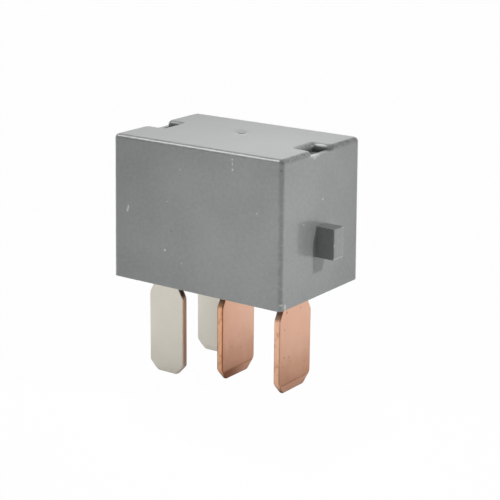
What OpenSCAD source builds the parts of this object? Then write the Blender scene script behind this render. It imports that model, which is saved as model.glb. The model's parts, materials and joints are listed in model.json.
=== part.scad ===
// Sealed plug-in relay with four blade terminals and a hinged armature.
// Sizes are in millimetres. The origin is the middle of the cover's rim,
// +Z is up, +X points to the end with the key tab.

/* [Cover] */
// Length of the cover at its rim
cover_l = 23; // [20.5:0.1:26]
// Width of the cover at its rim
cover_w = 15.6; // [14:0.1:19]
// Height of the cover above its rim
cover_h = 16.5; // [14.8:0.1:20]
// Thickness of the side walls
wall_t = 0.9; // [0.7:0.05:1.1]
// Thickness of the roof
roof_t = 1; // [0.8:0.05:1.3]
// Lean of the side walls, in degrees
draft = 0.45; // [0.2:0.05:0.8]
// Radius of the upright corners at the rim
corner_r = 0.62; // [0.55:0.01:1]
// Radius along the top edges
top_r = 0.45; // [0.2:0.05:0.7]

/* [Pull notches] */
// Reach of each notch from the end of the rim
notch_l = 2.44; // [1.9:0.02:3]
// Width of each notch
notch_w = 3.6; // [3:0.1:6]
// Depth of each notch at its lip
notch_d = 0.62; // [0.4:0.02:0.8]
// Thickness of the lip that closes the pocket
lip_t = 0.7; // [0.6:0.05:1.4]
// Depth of the pocket below the lip
pocket_d = 0.34; // [0.2:0.02:0.5]
// Radius along the top edges of each notch
notch_r = 0.4; // [0.1:0.05:0.45]
// Thickness of the roof under each pocket
notch_floor_t = 0.7; // [0.5:0.05:0.9]

/* [Key tab] */
// Reach of the tab past the rim
tab_out = 2.26; // [1:0.02:3]
// Width of the tab
tab_w = 1.9; // [1.2:0.1:4]
// Height of the tab
tab_h = 3.45; // [2:0.05:5]
// Height of the tab's lower edge above the rim
tab_z = 4.55; // [3:0.05:8]
// Radius of the tab's long edges
tab_r = 0.15; // [0.1:0.05:0.4]

/* [Gate mark] */
// Diameter of the gate dimple
gate_d = 1; // [0.6:0.1:2]
// Depth of the gate dimple
gate_depth = 0.14; // [0.08:0.02:0.3]
// Place of the gate dimple along the cover
gate_x = -0.39; // [-3:0.01:3]
// Place of the gate dimple across the cover
gate_y = 1.5; // [-4:0.1:4]

/* [Blades] */
// Thickness of the terminal sheet
blade_t = 0.8; // [0.6:0.05:1]
// Width of the two load blades
load_w = 6.3; // [4.8:0.1:7]
// Width of the two coil blades
coil_w = 4.8; // [3.6:0.1:5.4]
// Reach of the load blades below the rim
load_l = 11.75; // [9:0.05:14]
// Reach of the coil blades below the rim
coil_l = 11.5; // [9:0.05:14]
// Width of the cut corners at each tip
tip_cut_w = 1.05; // [0.5:0.05:1.4]
// Height of the cut corners of the load blades
load_cut_h = 1.35; // [0.5:0.05:1.6]
// Height of the cut corners of the coil blades
coil_cut_h = 1.15; // [0.5:0.05:1.6]
// Height of the coined bevel at each tip
bevel_h = 1.1; // [0.5:0.05:1.6]
// Thickness left at the very tip
tip_t = 0.36; // [0.2:0.02:0.5]
// Step in from a blade's edge to its neck
neck_in = 0.78; // [0.4:0.02:1]
// Height of the sloping shoulders
shoulder_h = 1.4; // [0.6:0.05:1.6]
// Depth of the load blades' shoulders below the rim
load_shoulder = 2.92; // [2:0.02:4]
// Depth of the coil blades' shoulders below the rim
coil_shoulder = 2.14; // [1.8:0.02:3]

/* [Blade places] */
// Distance of the load blade from the tab end of the rim
load_in = 3.58; // [3:0.02:4.2]
// Distance of the coil blades' middle from the back end of the rim
coil_in = 5.32; // [5:0.02:6]
// Distance of the coil blades from the sides of the rim
coil_edge = 3.25; // [2.9:0.05:3.6]
// Distance of the common blade from the core's axis
common_out = 2.87; // [2.6:0.01:3.2]

/* [Base and resin] */
// Depth of the base's underside inside the rim
base_z = 1; // [0.6:0.05:1.4]
// Thickness of the base
base_t = 2; // [1.4:0.1:2.6]
// Radius of the base's corners
base_corner_r = 0.4; // [0.2:0.1:1]
// Depth of the resin's surface inside the rim
resin_z = 0.3; // [0.15:0.05:0.5]
// Thickness of the barrier between coil and contacts
barrier_t = 0.8; // [0.5:0.05:1]
// Height of the barrier above the base
barrier_h = 6.5; // [3:0.1:6.8]
// Step in from the base's sides to the barrier
barrier_in = 1; // [0.5:0.1:2]

/* [Yoke and core] */
// Thickness of the yoke
yoke_t = 1.2; // [1:0.05:1.4]
// Radius outside the yoke's bend
yoke_bend_r = 1.5; // [1.2:0.1:2]
// Reach of the yoke's foot past the common blade
foot_past = 1.5; // [1:0.1:2]
// Width of the common terminal's tang in the yoke
tang_w = 3; // [2:0.1:3.2]
// Radius of the core
core_r = 2; // [1.7:0.1:2.2]
// Radius of the core's staked end
stake_r = 1.6; // [1.2:0.05:1.7]
// Radius of the pole shoe
pole_r = 3.6; // [2.8:0.1:4.2]
// Thickness of the pole shoe
pole_t = 0.7; // [0.5:0.05:0.9]

/* [Bobbin and coil] */
// Thickness of the bobbin's flanges
flange_t = 0.8; // [0.6:0.05:1]
// Radius of the flanges' corners
flange_corner_r = 0.6; // [0.3:0.1:1]
// Thickness of the bobbin's tube
hub_t = 0.6; // [0.4:0.05:0.8]
// Length of the bobbin's feet
bobbin_foot_l = 4.2; // [2:0.1:4.4]
// Step in from the flange's end to the feet
bobbin_foot_in = 0.2; // [0.1:0.1:1]
// Step in from the flanges to the winding
winding_in = 0.67; // [0.3:0.01:1]
// Diameter of the coil wire
wire_d = 0.24; // [0.16:0.02:0.3]
// Height of the first turn on a post above the lower flange
lead_up = 0.9; // [0.5:0.05:1.2]
// Width of the coil posts
post_w = 1; // [0.8:0.05:1.2]
// Height of the coil posts above the base
post_h = 5.2; // [4.6:0.1:6]
// Step out from a coil blade's middle to its post
post_out = 0.95; // [0.6:0.05:1.1]
// Height of the solder beads
bead_h = 0.7; // [0.4:0.05:1]

/* [Armature] */
// Thickness of the armature
armature_t = 1.2; // [1:0.05:1.4]
// Width of the armature
armature_w = 9; // [8:0.1:10]
// Opening angle of the armature, in degrees
open_angle = 3.2; // [2:0.1:3.6]
// Reach of the armature's heel behind the hinge
heel_back = 0.25; // [0.15:0.05:0.35]
// Size of the cut on the heel's upper edge
heel_cut = 0.5; // [0.4:0.05:0.7]
// Step in from the flange's end to the armature's toe
toe_in = 0.2; // [0.1:0.05:0.5]
// Distance between the armature's rivets
rivet_pitch = 3.8; // [3:0.1:4.4]
// Length of the stops along the armature
stop_l = 1.5; // [1:0.1:2]
// Step in from the armature's toe to the stops
stop_in = 0.5; // [0.3:0.1:1]
// Reach of the stops' hooks over the armature
stop_over = 0.9; // [0.5:0.1:1.2]
// Thickness of the stops' posts
stop_t = 1; // [0.7:0.1:1.2]
// Thickness of the stops' hooks
hook_t = 0.6; // [0.4:0.05:0.8]

/* [Contact leaf] */
// Thickness of the contact leaf
leaf_t = 0.25; // [0.15:0.01:0.3]
// Width of the contact leaf
leaf_w = 5.6; // [5:0.1:6]
// Width of the leaf at its contact
leaf_tip_w = 4; // [3.6:0.1:5]
// Reach of the leaf past its contact
leaf_past = 1.72; // [1.6:0.02:2]
// Length of the leaf's taper
taper_l = 1.8; // [1:0.1:2]
// Width of the window in the leaf's bend
window_w = 2.2; // [1:0.1:2.4]
// Reach of the window along the arm
window_l = 3; // [1.5:0.1:3.2]
// Drop of the window below the hinge
window_drop = 1.2; // [0.6:0.1:1.6]
// Height of the leaf's leg on the yoke
leaf_leg = 5.4; // [4.6:0.1:6]
// Distance between the yoke's rivets
yoke_rivet_pitch = 3.1; // [2.6:0.1:3.4]
// Drop of the yoke's rivets below the hinge
rivet_drop = 3.35; // [2.8:0.05:4]

/* [Contacts and rivets] */
// Distance of the contacts from the load blade
contact_back = 2.35; // [2.2:0.05:2.8]
// Radius of the moving contact
moving_r = 1.5; // [1:0.05:1.6]
// Height of the moving contact's head
moving_h = 0.6; // [0.4:0.05:0.8]
// Radius of the fixed contact
fixed_r = 1.6; // [1.2:0.05:1.7]
// Height of the fixed contact's head
fixed_h = 0.7; // [0.5:0.05:0.9]
// Radius of the contacts' shanks
shank_r = 0.7; // [0.5:0.05:0.9]
// Step out from a shank to its peened end
peen_out = 0.4; // [0.2:0.05:0.5]
// Height of the peened ends
peen_h = 0.25; // [0.15:0.05:0.4]
// Step out from the fixed contact to the end of its arm
arm_lip = 0.1; // [0.05:0.05:0.5]
// Radius outside the bend of the load terminal's strap
strap_bend_r = 1.2; // [1:0.1:1.6]
// Radius of the rivets' shanks
rivet_r = 0.6; // [0.4:0.05:0.7]
// Radius of the rivets' heads
rivet_head_r = 1; // [0.8:0.05:1.2]
// Height of the rivets' heads
rivet_head_h = 0.28; // [0.2:0.02:0.4]

/* [Clearances] */
// Gap between the base and the cover's walls
base_gap = 0.08; // [0.04:0.01:0.15]
// Gap round pieces that are pressed or moulded in
press_gap = 0.02; // [0.01:0.01:0.05]
// Gap between pieces assembled side by side
side_gap = 0.1; // [0.05:0.01:0.2]
// Gap between the yoke's foot and the coil terminals
foot_gap = 0.15; // [0.1:0.01:0.3]
// Gap between the coil posts and the bobbin
post_gap = 0.22; // [0.1:0.02:0.4]
// Gap between the coil terminals' collars and the bobbin
collar_gap = 0.4; // [0.2:0.05:0.6]
// Gap between the bobbin's flanges and the cover's walls
flange_gap = 0.87; // [0.4:0.01:1.2]
// Gap between the bobbin and the fixed contact's arm
arm_gap = 1.07; // [0.8:0.01:1.5]
// Gap between the bobbin and the barrier
barrier_gap = 0.4; // [0.2:0.05:0.6]
// Gap between the yoke's rivets and the cover's back wall
back_gap = 0.3; // [0.2:0.05:0.5]
// Gap between the armature's sides and the stops
stop_side_gap = 0.2; // [0.1:0.05:0.4]
// Gap between the open armature and its stops
stop_gap = 0.04; // [0.03:0.01:0.1]
// Gap left between the pole and the closed armature
air_gap = 0.05; // [0.04:0.01:0.1]
// Gap left between the contacts at the closed end of the travel
contact_gap = 0.05; // [0.04:0.01:0.1]
// Free height between the open leaf and the roof
headroom = 0.6; // [0.4:0.05:1]

/* [Hidden] */
$fn = 64;

// Small overlap where shapes of one piece meet, and the reach of cutters past what they cut
lap = 0.01;
past = 1;

// Half sizes of the rim outside, and inside the walls at height z
half_l = cover_l / 2;
half_w = cover_w / 2;
function inside_l(z) = half_l - wall_t - z * tan(draft);
function inside_w(z) = half_w - wall_t - z * tan(draft);
ceiling = cover_h - roof_t;
// The top radius is limited by what the upright corners leave
top_fillet = min(top_r, (corner_r - cover_h * sin(draft)) * 0.95);

// Levels, from the base up
base_top = base_z + base_t;
foot_top = base_top + yoke_t;

// Places of the blades that are set by the cover
coil_x = -half_l + coil_in;
coil_y = half_w - coil_edge;
load_x = half_l - load_in;

// Yoke, placed from the cover's back wall through the leaf and the rivets' heads
yoke_back = -inside_l(ceiling) + back_gap + rivet_head_h + leaf_t;
yoke_front = yoke_back + yoke_t;
yoke_w = 2 * (coil_y - blade_t / 2 - foot_gap);
hinge_x = yoke_back + yoke_t / 2;

// Contacts, placed from the load blade
contact_x = load_x - contact_back;
arm_x = contact_x - fixed_r - arm_lip;
lever = contact_x - hinge_x;

// Bobbin, between the yoke and the fixed contact's arm
flange_end = arm_x - arm_gap;
flange_l = flange_end - yoke_front - side_gap;
flange_w = 2 * (inside_w(base_top) - flange_gap);
coil_cx = flange_end - flange_l / 2;
bore_r = core_r + side_gap / 2;
hub_r = bore_r + hub_t;
// The winding stays inside both flanges, whichever way they are narrower
winding_r = min(flange_l, flange_w) / 2 - winding_in;

// Common blade and the yoke's foot, placed from the core
common_x = coil_cx + common_out;
foot_end = common_x + foot_past;

// Heights with the armature closed, from the roof down
leaf_z = ceiling - headroom - peen_h - leaf_t - lever * sin(open_angle);
armature_z = leaf_z - armature_t;
pole_z = armature_z - air_gap;
hinge_z = pole_z - yoke_t / 2;
bobbin_top = pole_z - pole_t;
fixed_top = leaf_z - moving_h - contact_gap;
arm_top = fixed_top - fixed_h;

// Ends of the armature and of its stops
heel_x = hinge_x - heel_back;
toe_x = flange_end - toe_in;
stop_x1 = toe_x - stop_in;
stop_x0 = stop_x1 - stop_l;

// Places of the rivets
armature_rivet_x = [coil_cx - rivet_pitch / 2, coil_cx + rivet_pitch / 2];
yoke_rivet_y = yoke_rivet_pitch / 2;
yoke_rivet_z = hinge_z - rivet_drop;

// Coil posts, on the outer side of the coil blades
post_x = coil_x - post_out;
clip_x = post_x + post_w / 2 + post_gap;

// A point of the closed armature, swung to the open rest position
function swung(x, z) = [
    hinge_x + (x - hinge_x) * cos(open_angle) - (z - hinge_z) * sin(open_angle),
    hinge_z + (x - hinge_x) * sin(open_angle) + (z - hinge_z) * cos(open_angle),
];

// Puts a shape of the closed armature in its open rest position
module open_pose() {
    translate([hinge_x, 0, hinge_z]) rotate([0, -open_angle, 0]) translate([-hinge_x, 0, -hinge_z]) children();
}

// Flat cutter that rounds a corner at the origin, with the material below and to the left;
// its circle reaches a little past both faces, so that it meets them at a clear angle
round_bite = 0.985;
module corner_cut(r) {
    difference() {
        translate([-round_bite * r, -round_bite * r]) square(2 * r);
        translate([-round_bite * r, -round_bite * r]) circle(r);
    }
}

// Flat shape with round corners, centred
module round_rect(l, w, r) {
    square([l - 2 * r, w], center = true);
    square([l, w - 2 * r], center = true);
    for (sx = [-1, 1], sy = [-1, 1]) {
        translate([sx * (l / 2 - r), sy * (w / 2 - r)]) circle(r);
    }
}

// Outline of the cover seen from one end, with leaning sides
module end_view(half) {
    lean = cover_h * tan(draft);
    polygon([[-half, 0], [half, 0], [half - lean, cover_h], [-half + lean, cover_h]]);
}

// Rounding cutters along both top edges of an end view
module top_edge_cuts(half) {
    lean = cover_h * tan(draft);
    for (m = [0, 1]) {
        mirror([m, 0]) translate([half - lean, cover_h]) corner_cut(top_fillet);
    }
}

// Cutter that rounds the upright corner at +X, +Y with a radius that shrinks as the walls lean in
module upright_cut() {
    slope = tan(draft);
    translate([half_l - round_bite * corner_r, half_w - round_bite * corner_r, -past]) difference() {
        cube([2 * corner_r, 2 * corner_r, cover_h + 2 * past]);
        translate([0, 0, -past]) cylinder(
            r1 = corner_r + 2 * past * slope,
            r2 = corner_r - (cover_h + 2 * past) * slope,
            h = cover_h + 4 * past
        );
    }
}

// A block with leaning walls, round upright corners and round top edges
module leaning_block() {
    difference() {
        intersection() {
            rotate([90, 0, 90]) translate([0, 0, -half_l]) linear_extrude(cover_l) end_view(half_w);
            rotate([90, 0, 0]) translate([0, 0, -half_w]) linear_extrude(cover_w) end_view(half_l);
        }
        rotate([90, 0, 90]) translate([0, 0, -half_l]) linear_extrude(cover_l) top_edge_cuts(half_w);
        rotate([90, 0, 0]) translate([0, 0, -half_w]) linear_extrude(cover_w) top_edge_cuts(half_l);
        for (mx = [0, 1], my = [0, 1]) {
            mirror([mx, 0, 0]) mirror([0, my, 0]) upright_cut();
        }
    }
}

// Trapezium between two heights inside the walls
module inside_view(low, high, z0, z1) {
    polygon([[-low, z0], [low, z0], [high, z1], [-high, z1]]);
}

// The space inside the walls between two heights
module inside_space(z0, z1) {
    intersection() {
        rotate([90, 0, 90]) translate([0, 0, -half_l]) linear_extrude(cover_l)
            inside_view(inside_w(z0), inside_w(z1), z0, z1);
        rotate([90, 0, 0]) translate([0, 0, -half_w]) linear_extrude(cover_w)
            inside_view(inside_l(z0), inside_l(z1), z0, z1);
    }
}

// Notch seen from its end, with round top edges
module notch_view() {
    translate([-notch_w / 2, cover_h - notch_d]) square([notch_w, notch_d + past]);
    for (m = [0, 1]) {
        mirror([m, 0]) translate([notch_w / 2, cover_h]) mirror([1, 0]) corner_cut(notch_r);
    }
}

// Cutter for one notch at the +X end, with a pocket behind its lip
module notch_cut() {
    x0 = half_l - notch_l;
    lip_x = half_l - cover_h * tan(draft) - lip_t;
    rotate([90, 0, 90]) translate([0, 0, x0]) linear_extrude(notch_l + past) notch_view();
    translate([x0, -notch_w / 2, cover_h - notch_d - pocket_d])
        cube([lip_x - x0, notch_w, notch_d + pocket_d + past]);
}

// Thickening under one notch, inside the roof
module notch_floor() {
    x0 = half_l - notch_l - wall_t;
    z0 = cover_h - notch_d - pocket_d - notch_floor_t;
    translate([x0, -notch_w / 2 - wall_t, z0]) cube([half_l - x0, notch_w + 2 * wall_t, cover_h - z0]);
}

module key_tab() {
    x0 = inside_l(tab_z) + wall_t / 2;
    translate([x0, 0, tab_z + tab_h / 2])
        rotate([90, 0, 90])
            linear_extrude(half_l + tab_out - x0) round_rect(tab_w, tab_h, tab_r);
}

module cover() color([0.56, 0.58, 0.58]) {
    difference() {
        union() {
            difference() {
                leaning_block();
                difference() {
                    inside_space(-past, ceiling);
                    for (turn = [0, 180]) {
                        rotate([0, 0, turn]) notch_floor();
                    }
                }
            }
            key_tab();
        }
        for (turn = [0, 180]) {
            rotate([0, 0, turn]) notch_cut();
        }
        translate([gate_x, gate_y, cover_h - gate_depth])
            cylinder(d1 = gate_d * 0.6, d2 = gate_d, h = gate_depth);
    }
}

// Slot with a press fit round a terminal's sheet; its length runs along X or along Y
module slot_x(x, y, w, z0, z1) {
    translate([x - w / 2 - press_gap, y - blade_t / 2 - press_gap, z0])
        cube([w + 2 * press_gap, blade_t + 2 * press_gap, z1 - z0]);
}

module slot_y(x, y, w, z0, z1) {
    translate([x - blade_t / 2 - press_gap, y - w / 2 - press_gap, z0])
        cube([blade_t + 2 * press_gap, w + 2 * press_gap, z1 - z0]);
}

// Slots for the necks of all four terminals
module terminal_slots(z0, z1) {
    slot_y(load_x, 0, load_w - 2 * neck_in, z0, z1);
    slot_y(common_x, 0, load_w - 2 * neck_in, z0, z1);
    for (s = [-1, 1]) {
        slot_x(coil_x, s * coil_y, coil_w - 2 * neck_in, z0, z1);
    }
}

module base() color([0.16, 0.17, 0.18]) {
    base_half_l = inside_l(base_top) - base_gap;
    base_half_w = inside_w(base_top) - base_gap;
    barrier_half_w = base_half_w - barrier_in;
    difference() {
        union() {
            translate([0, 0, base_z]) linear_extrude(base_t)
                round_rect(2 * base_half_l, 2 * base_half_w, base_corner_r);
            translate([flange_end + barrier_gap, -barrier_half_w, base_top - lap])
                cube([barrier_t, 2 * barrier_half_w, barrier_h + lap]);
        }
        terminal_slots(base_z - past, base_top + past);
    }
}

module sealing_resin() color([0.22, 0.2, 0.17]) {
    difference() {
        inside_space(resin_z, base_z);
        terminal_slots(resin_z - past, base_z + past);
    }
}

// Flat plan of a bobbin flange
module flange_plan() {
    translate([coil_cx, 0]) round_rect(flange_l, flange_w, flange_corner_r);
}

// Upright on the top flange with a hook over the armature's edge
module armature_stop() {
    hook_z = swung(stop_x1 + stop_in / 2, leaf_z)[1] + stop_gap;
    y0 = armature_w / 2 + stop_side_gap;
    y1 = y0 + stop_t;
    hook_y = armature_w / 2 - stop_over;
    translate([stop_x0, 0, 0]) rotate([90, 0, 90]) linear_extrude(stop_l)
        polygon([
            [y0, bobbin_top - flange_t], [y1, bobbin_top - flange_t], [y1, hook_z + hook_t],
            [hook_y, hook_z + hook_t], [hook_y, hook_z], [y0, hook_z],
        ]);
}

// Foot under the lower flange, beside the yoke
module bobbin_foot() {
    y0 = yoke_w / 2 + side_gap;
    translate([flange_end - bobbin_foot_in - bobbin_foot_l, y0, base_top])
        cube([bobbin_foot_l, flange_w / 2 - y0, yoke_t + lap]);
}

module bobbin() color([0.86, 0.84, 0.78]) {
    clip_y = coil_y - blade_t / 2 - post_gap;
    difference() {
        union() {
            translate([0, 0, foot_top]) linear_extrude(flange_t) difference() {
                flange_plan();
                for (m = [0, 1]) {
                    mirror([0, m]) translate([clip_x - flange_l, clip_y]) square([flange_l, flange_w]);
                }
            }
            translate([0, 0, bobbin_top - flange_t]) linear_extrude(flange_t) flange_plan();
            translate([coil_cx, 0, foot_top]) cylinder(r = hub_r, h = bobbin_top - foot_top);
            for (m = [0, 1]) {
                mirror([0, m, 0]) bobbin_foot();
                mirror([0, m, 0]) armature_stop();
            }
        }
        translate([coil_cx, 0, foot_top - past]) cylinder(r = bore_r, h = bobbin_top - foot_top + 2 * past);
    }
}

module coil_winding() color([0.62, 0.3, 0.16]) {
    z0 = foot_top + flange_t + press_gap;
    z1 = bobbin_top - flange_t - press_gap;
    translate([coil_cx, 0, z0]) difference() {
        cylinder(r = winding_r, h = z1 - z0);
        translate([0, 0, -past]) cylinder(r = hub_r + press_gap, h = z1 - z0 + 2 * past);
    }
}

// Unit vector, and the direction of a path at one of its points
function unit(v) = v / norm(v);
function path_dir(p, i) = unit(p[min(i + 1, len(p) - 1)] - p[max(i - 1, 0)]);

// Round wire along a path that never runs straight up
module wire(path, r, sides = 8) {
    points = [
        for (i = [0:len(path) - 1])
            let (t = path_dir(path, i), u = unit(cross(t, [0, 0, 1])), v = cross(u, t))
                for (k = [0:sides - 1])
                    path[i] + r * (cos(360 * k / sides) * u + sin(360 * k / sides) * v)
    ];
    rings = len(path) - 1;
    quads = [
        for (i = [0:rings - 1], k = [0:sides - 1])
            let (n = (k + 1) % sides)
                [i * sides + k, (i + 1) * sides + k, (i + 1) * sides + n, i * sides + n]
    ];
    start_cap = [for (k = [0:sides - 1]) k];
    end_cap = [for (k = [0:sides - 1]) rings * sides + sides - 1 - k];
    polyhedron(points, concat([start_cap, end_cap], quads));
}

// Lead from the winding to a post on side s, then turns round the post
lead_turns = 3;
turn_steps = 16;
// Direction of the post from the core, and where the lead leaves the winding
post_angle = atan2(coil_y, post_x - coil_cx);
lead_angle = post_angle - 12;
lead_rx = post_w / 2 * sqrt(2) + wire_d / 2 + press_gap;
lead_ry = blade_t / 2 * sqrt(2) + wire_d / 2 + press_gap;
lead_r0 = winding_r + wire_d * 0.6;
lead_rise = wire_d * 1.15;
wrap_z = foot_top + flange_t + lead_up;
function lead_path(s) = concat(
    [[coil_cx + lead_r0 * cos(lead_angle), s * lead_r0 * sin(lead_angle), wrap_z]],
    [
        for (i = [0:lead_turns * turn_steps])
            let (a = post_angle - 90 + 360 * i / turn_steps)
                [
                    post_x + lead_rx * cos(a),
                    s * (coil_y + lead_ry * sin(a)),
                    wrap_z + lead_rise * i / turn_steps,
                ]
    ]
);

module coil_lead_start() color([0.72, 0.38, 0.2]) {
    wire(lead_path(-1), wire_d / 2);
}

module coil_lead_finish() color([0.72, 0.38, 0.2]) {
    wire(lead_path(1), wire_d / 2);
}

// Beads of solder at the top of the turns
module lead_solder() color([0.75, 0.75, 0.74]) {
    z0 = wrap_z + lead_rise * lead_turns + wire_d * 0.5 + press_gap;
    bead_r = lead_rx - wire_d * 0.2;
    for (s = [-1, 1]) {
        difference() {
            translate([post_x, s * coil_y, z0]) cylinder(r1 = bead_r, r2 = bead_r * 0.72, h = bead_h);
            slot_x(post_x, s * coil_y, post_w, z0 - past, z0 + bead_h + past);
        }
    }
}

module core() color([0.66, 0.67, 0.68]) {
    translate([coil_cx, 0, 0]) rotate_extrude()
        polygon([
            [0, base_top], [stake_r, base_top], [stake_r, foot_top], [core_r, foot_top],
            [core_r, bobbin_top], [pole_r, bobbin_top], [pole_r, pole_z], [0, pole_z],
        ]);
}

// The yoke seen from the side, with its rounded hinge edge
module yoke_view() {
    r = yoke_bend_r;
    difference() {
        union() {
            translate([yoke_back, base_top]) square([yoke_t, hinge_z - base_top]);
            translate([yoke_back, base_top]) square([foot_end - yoke_back, yoke_t]);
            translate([hinge_x, hinge_z]) circle(yoke_t / 2);
        }
        difference() {
            translate([yoke_back - past, base_top - past]) square([r + past, r + past]);
            translate([yoke_back + r, base_top + r]) circle(r);
        }
    }
}

// Holes for the rivets through the leaf's leg and the yoke
module yoke_rivet_holes() {
    for (s = [-1, 1]) {
        translate([yoke_back - past, s * yoke_rivet_y, yoke_rivet_z])
            rotate([0, 90, 0]) cylinder(r = rivet_r + press_gap, h = yoke_t + 2 * past);
    }
}

// Holes for the rivets through the armature and the leaf, with the armature closed
module armature_rivet_holes() {
    for (x = armature_rivet_x) {
        translate([x, 0, armature_z - past]) cylinder(r = rivet_r + press_gap, h = armature_t + 3 * past);
    }
}

module yoke() color([0.62, 0.63, 0.64]) {
    difference() {
        rotate([90, 0, 0]) translate([0, 0, -yoke_w / 2]) linear_extrude(yoke_w) yoke_view();
        translate([coil_cx, 0, base_top - past]) cylinder(r = stake_r + press_gap, h = yoke_t + 2 * past);
        slot_y(common_x, 0, tang_w, base_top - past, foot_top + past);
        yoke_rivet_holes();
    }
}

module armature() color([0.66, 0.66, 0.66]) {
    open_pose() difference() {
        rotate([90, 0, 0]) translate([0, 0, -armature_w / 2]) linear_extrude(armature_w)
            polygon([
                [heel_x, armature_z], [toe_x, armature_z], [toe_x, leaf_z],
                [heel_x + heel_cut, leaf_z], [heel_x, leaf_z - heel_cut],
            ]);
        armature_rivet_holes();
    }
}

// Bend of the leaf at rest: tangent to its upright leg and to the tilted arm
leaf_mid_x = yoke_back - leaf_t / 2;
leaf_start_x = heel_x + heel_cut * 1.2;
leaf_tip_x = contact_x + leaf_past;
leaf_leg_z = hinge_z - leaf_leg;
bend_end = swung(leaf_start_x, leaf_z + leaf_t / 2);
bend_r = (bend_end[0] - leaf_mid_x) / (1 - sin(open_angle));
bend_c = [leaf_mid_x + bend_r, bend_end[1] - bend_r * cos(open_angle)];
bend_steps = 12;
// Points of the bend at one radius, from the leg to the arm
function leaf_arc(r) = [
    for (i = [0:bend_steps])
        let (a = 180 - (90 - open_angle) * i / bend_steps)
            bend_c + r * [cos(a), sin(a)]
];
function reversed(list) = [for (i = [len(list) - 1:-1:0]) list[i]];

// What the taper takes off one side of the leaf, with the armature closed
module taper_cut() {
    slim_x = arm_x - arm_gap / 4;
    side = leaf_w / 2 + past;
    translate([0, 0, leaf_z - past]) linear_extrude(leaf_t + 2 * past) polygon([
        [slim_x - taper_l, leaf_w / 2], [slim_x, leaf_tip_w / 2], [leaf_tip_x + past, leaf_tip_w / 2],
        [leaf_tip_x + past, side], [slim_x - taper_l, side],
    ]);
}

module contact_leaf() color([0.76, 0.5, 0.3]) {
    difference() {
        rotate([90, 0, 0]) translate([0, 0, -leaf_w / 2]) linear_extrude(leaf_w)
            polygon(concat(
                [[yoke_back - leaf_t, leaf_leg_z]],
                leaf_arc(bend_r + leaf_t / 2),
                [swung(leaf_tip_x, leaf_z + leaf_t), swung(leaf_tip_x, leaf_z)],
                reversed(leaf_arc(bend_r - leaf_t / 2)),
                [[yoke_back, leaf_leg_z]]
            ));
        translate([yoke_back - past, -window_w / 2, hinge_z - window_drop])
            cube([window_l + past, window_w, leaf_z - hinge_z + window_drop + 2 * past]);
        yoke_rivet_holes();
        open_pose() {
            armature_rivet_holes();
            translate([contact_x, 0, leaf_z - past]) cylinder(r = shank_r + press_gap, h = leaf_t + 2 * past);
            for (m = [0, 1]) {
                mirror([0, m, 0]) taper_cut();
            }
        }
    }
}

// Headed rivet that stands on its flush end, with a shank of length l
module rivet(l) {
    rotate_extrude() polygon([
        [0, 0], [rivet_r, 0], [rivet_r, l], [rivet_head_r, l],
        [rivet_head_r * 0.7, l + rivet_head_h], [0, l + rivet_head_h],
    ]);
}

module armature_rivets() color([0.78, 0.62, 0.36]) {
    open_pose() for (x = armature_rivet_x) {
        translate([x, 0, armature_z]) rivet(armature_t + leaf_t);
    }
}

module yoke_rivets() color([0.78, 0.62, 0.36]) {
    for (s = [-1, 1]) {
        translate([yoke_front, s * yoke_rivet_y, yoke_rivet_z]) rotate([0, -90, 0]) rivet(yoke_t + leaf_t);
    }
}

// Contact rivet: a head of radius r and height h on its face side, a shank of length l and a peened end
module contact_rivet(r, h, l) {
    peen_r = shank_r + peen_out;
    rotate_extrude() polygon([
        [0, h], [r * 0.8, h], [r, h * 0.7], [r, 0], [shank_r, 0], [shank_r, -l],
        [peen_r, -l], [peen_r * 0.8, -l - peen_h], [0, -l - peen_h],
    ]);
}

module moving_contact() color([0.83, 0.82, 0.78]) {
    open_pose() translate([contact_x, 0, leaf_z]) rotate([180, 0, 0]) contact_rivet(moving_r, moving_h, leaf_t);
}

module fixed_contact() color([0.83, 0.82, 0.78]) {
    translate([contact_x, 0, arm_top]) contact_rivet(fixed_r, fixed_h, blade_t);
}

// A blade of width w that stands across X, with its reach l, cut corners of height cut_h and a neck up to z1
module blade(w, l, cut_h, shoulder, z1) {
    neck = w / 2 - neck_in;
    full = -shoulder;
    low = -l;
    intersection() {
        rotate([90, 0, 90]) translate([0, 0, -blade_t]) linear_extrude(2 * blade_t)
            polygon([
                [-neck, z1], [-neck, full + shoulder_h], [-w / 2, full], [-w / 2, low + cut_h],
                [-w / 2 + tip_cut_w, low], [w / 2 - tip_cut_w, low], [w / 2, low + cut_h],
                [w / 2, full], [neck, full + shoulder_h], [neck, z1],
            ]);
        rotate([90, 0, 0]) translate([0, 0, -w]) linear_extrude(2 * w)
            polygon([
                [-blade_t / 2, z1], [-blade_t / 2, low + bevel_h], [-tip_t / 2, low],
                [tip_t / 2, low], [blade_t / 2, low + bevel_h], [blade_t / 2, z1],
            ]);
    }
}

module terminal_common() color([0.8, 0.52, 0.38]) {
    translate([common_x, 0, 0]) {
        blade(load_w, load_l, load_cut_h, load_shoulder, base_top);
        translate([-blade_t / 2, -tang_w / 2, base_top - lap]) cube([blade_t, tang_w, yoke_t + lap]);
    }
}

// The load terminal's strap and arm seen from the side
module strap_view() {
    outer_x = load_x + blade_t / 2;
    difference() {
        union() {
            translate([load_x - blade_t / 2, base_top - lap]) square([blade_t, arm_top - base_top + lap]);
            translate([arm_x, arm_top - blade_t]) square([outer_x - arm_x, blade_t]);
        }
        translate([outer_x, arm_top]) corner_cut(strap_bend_r);
    }
}

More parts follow.
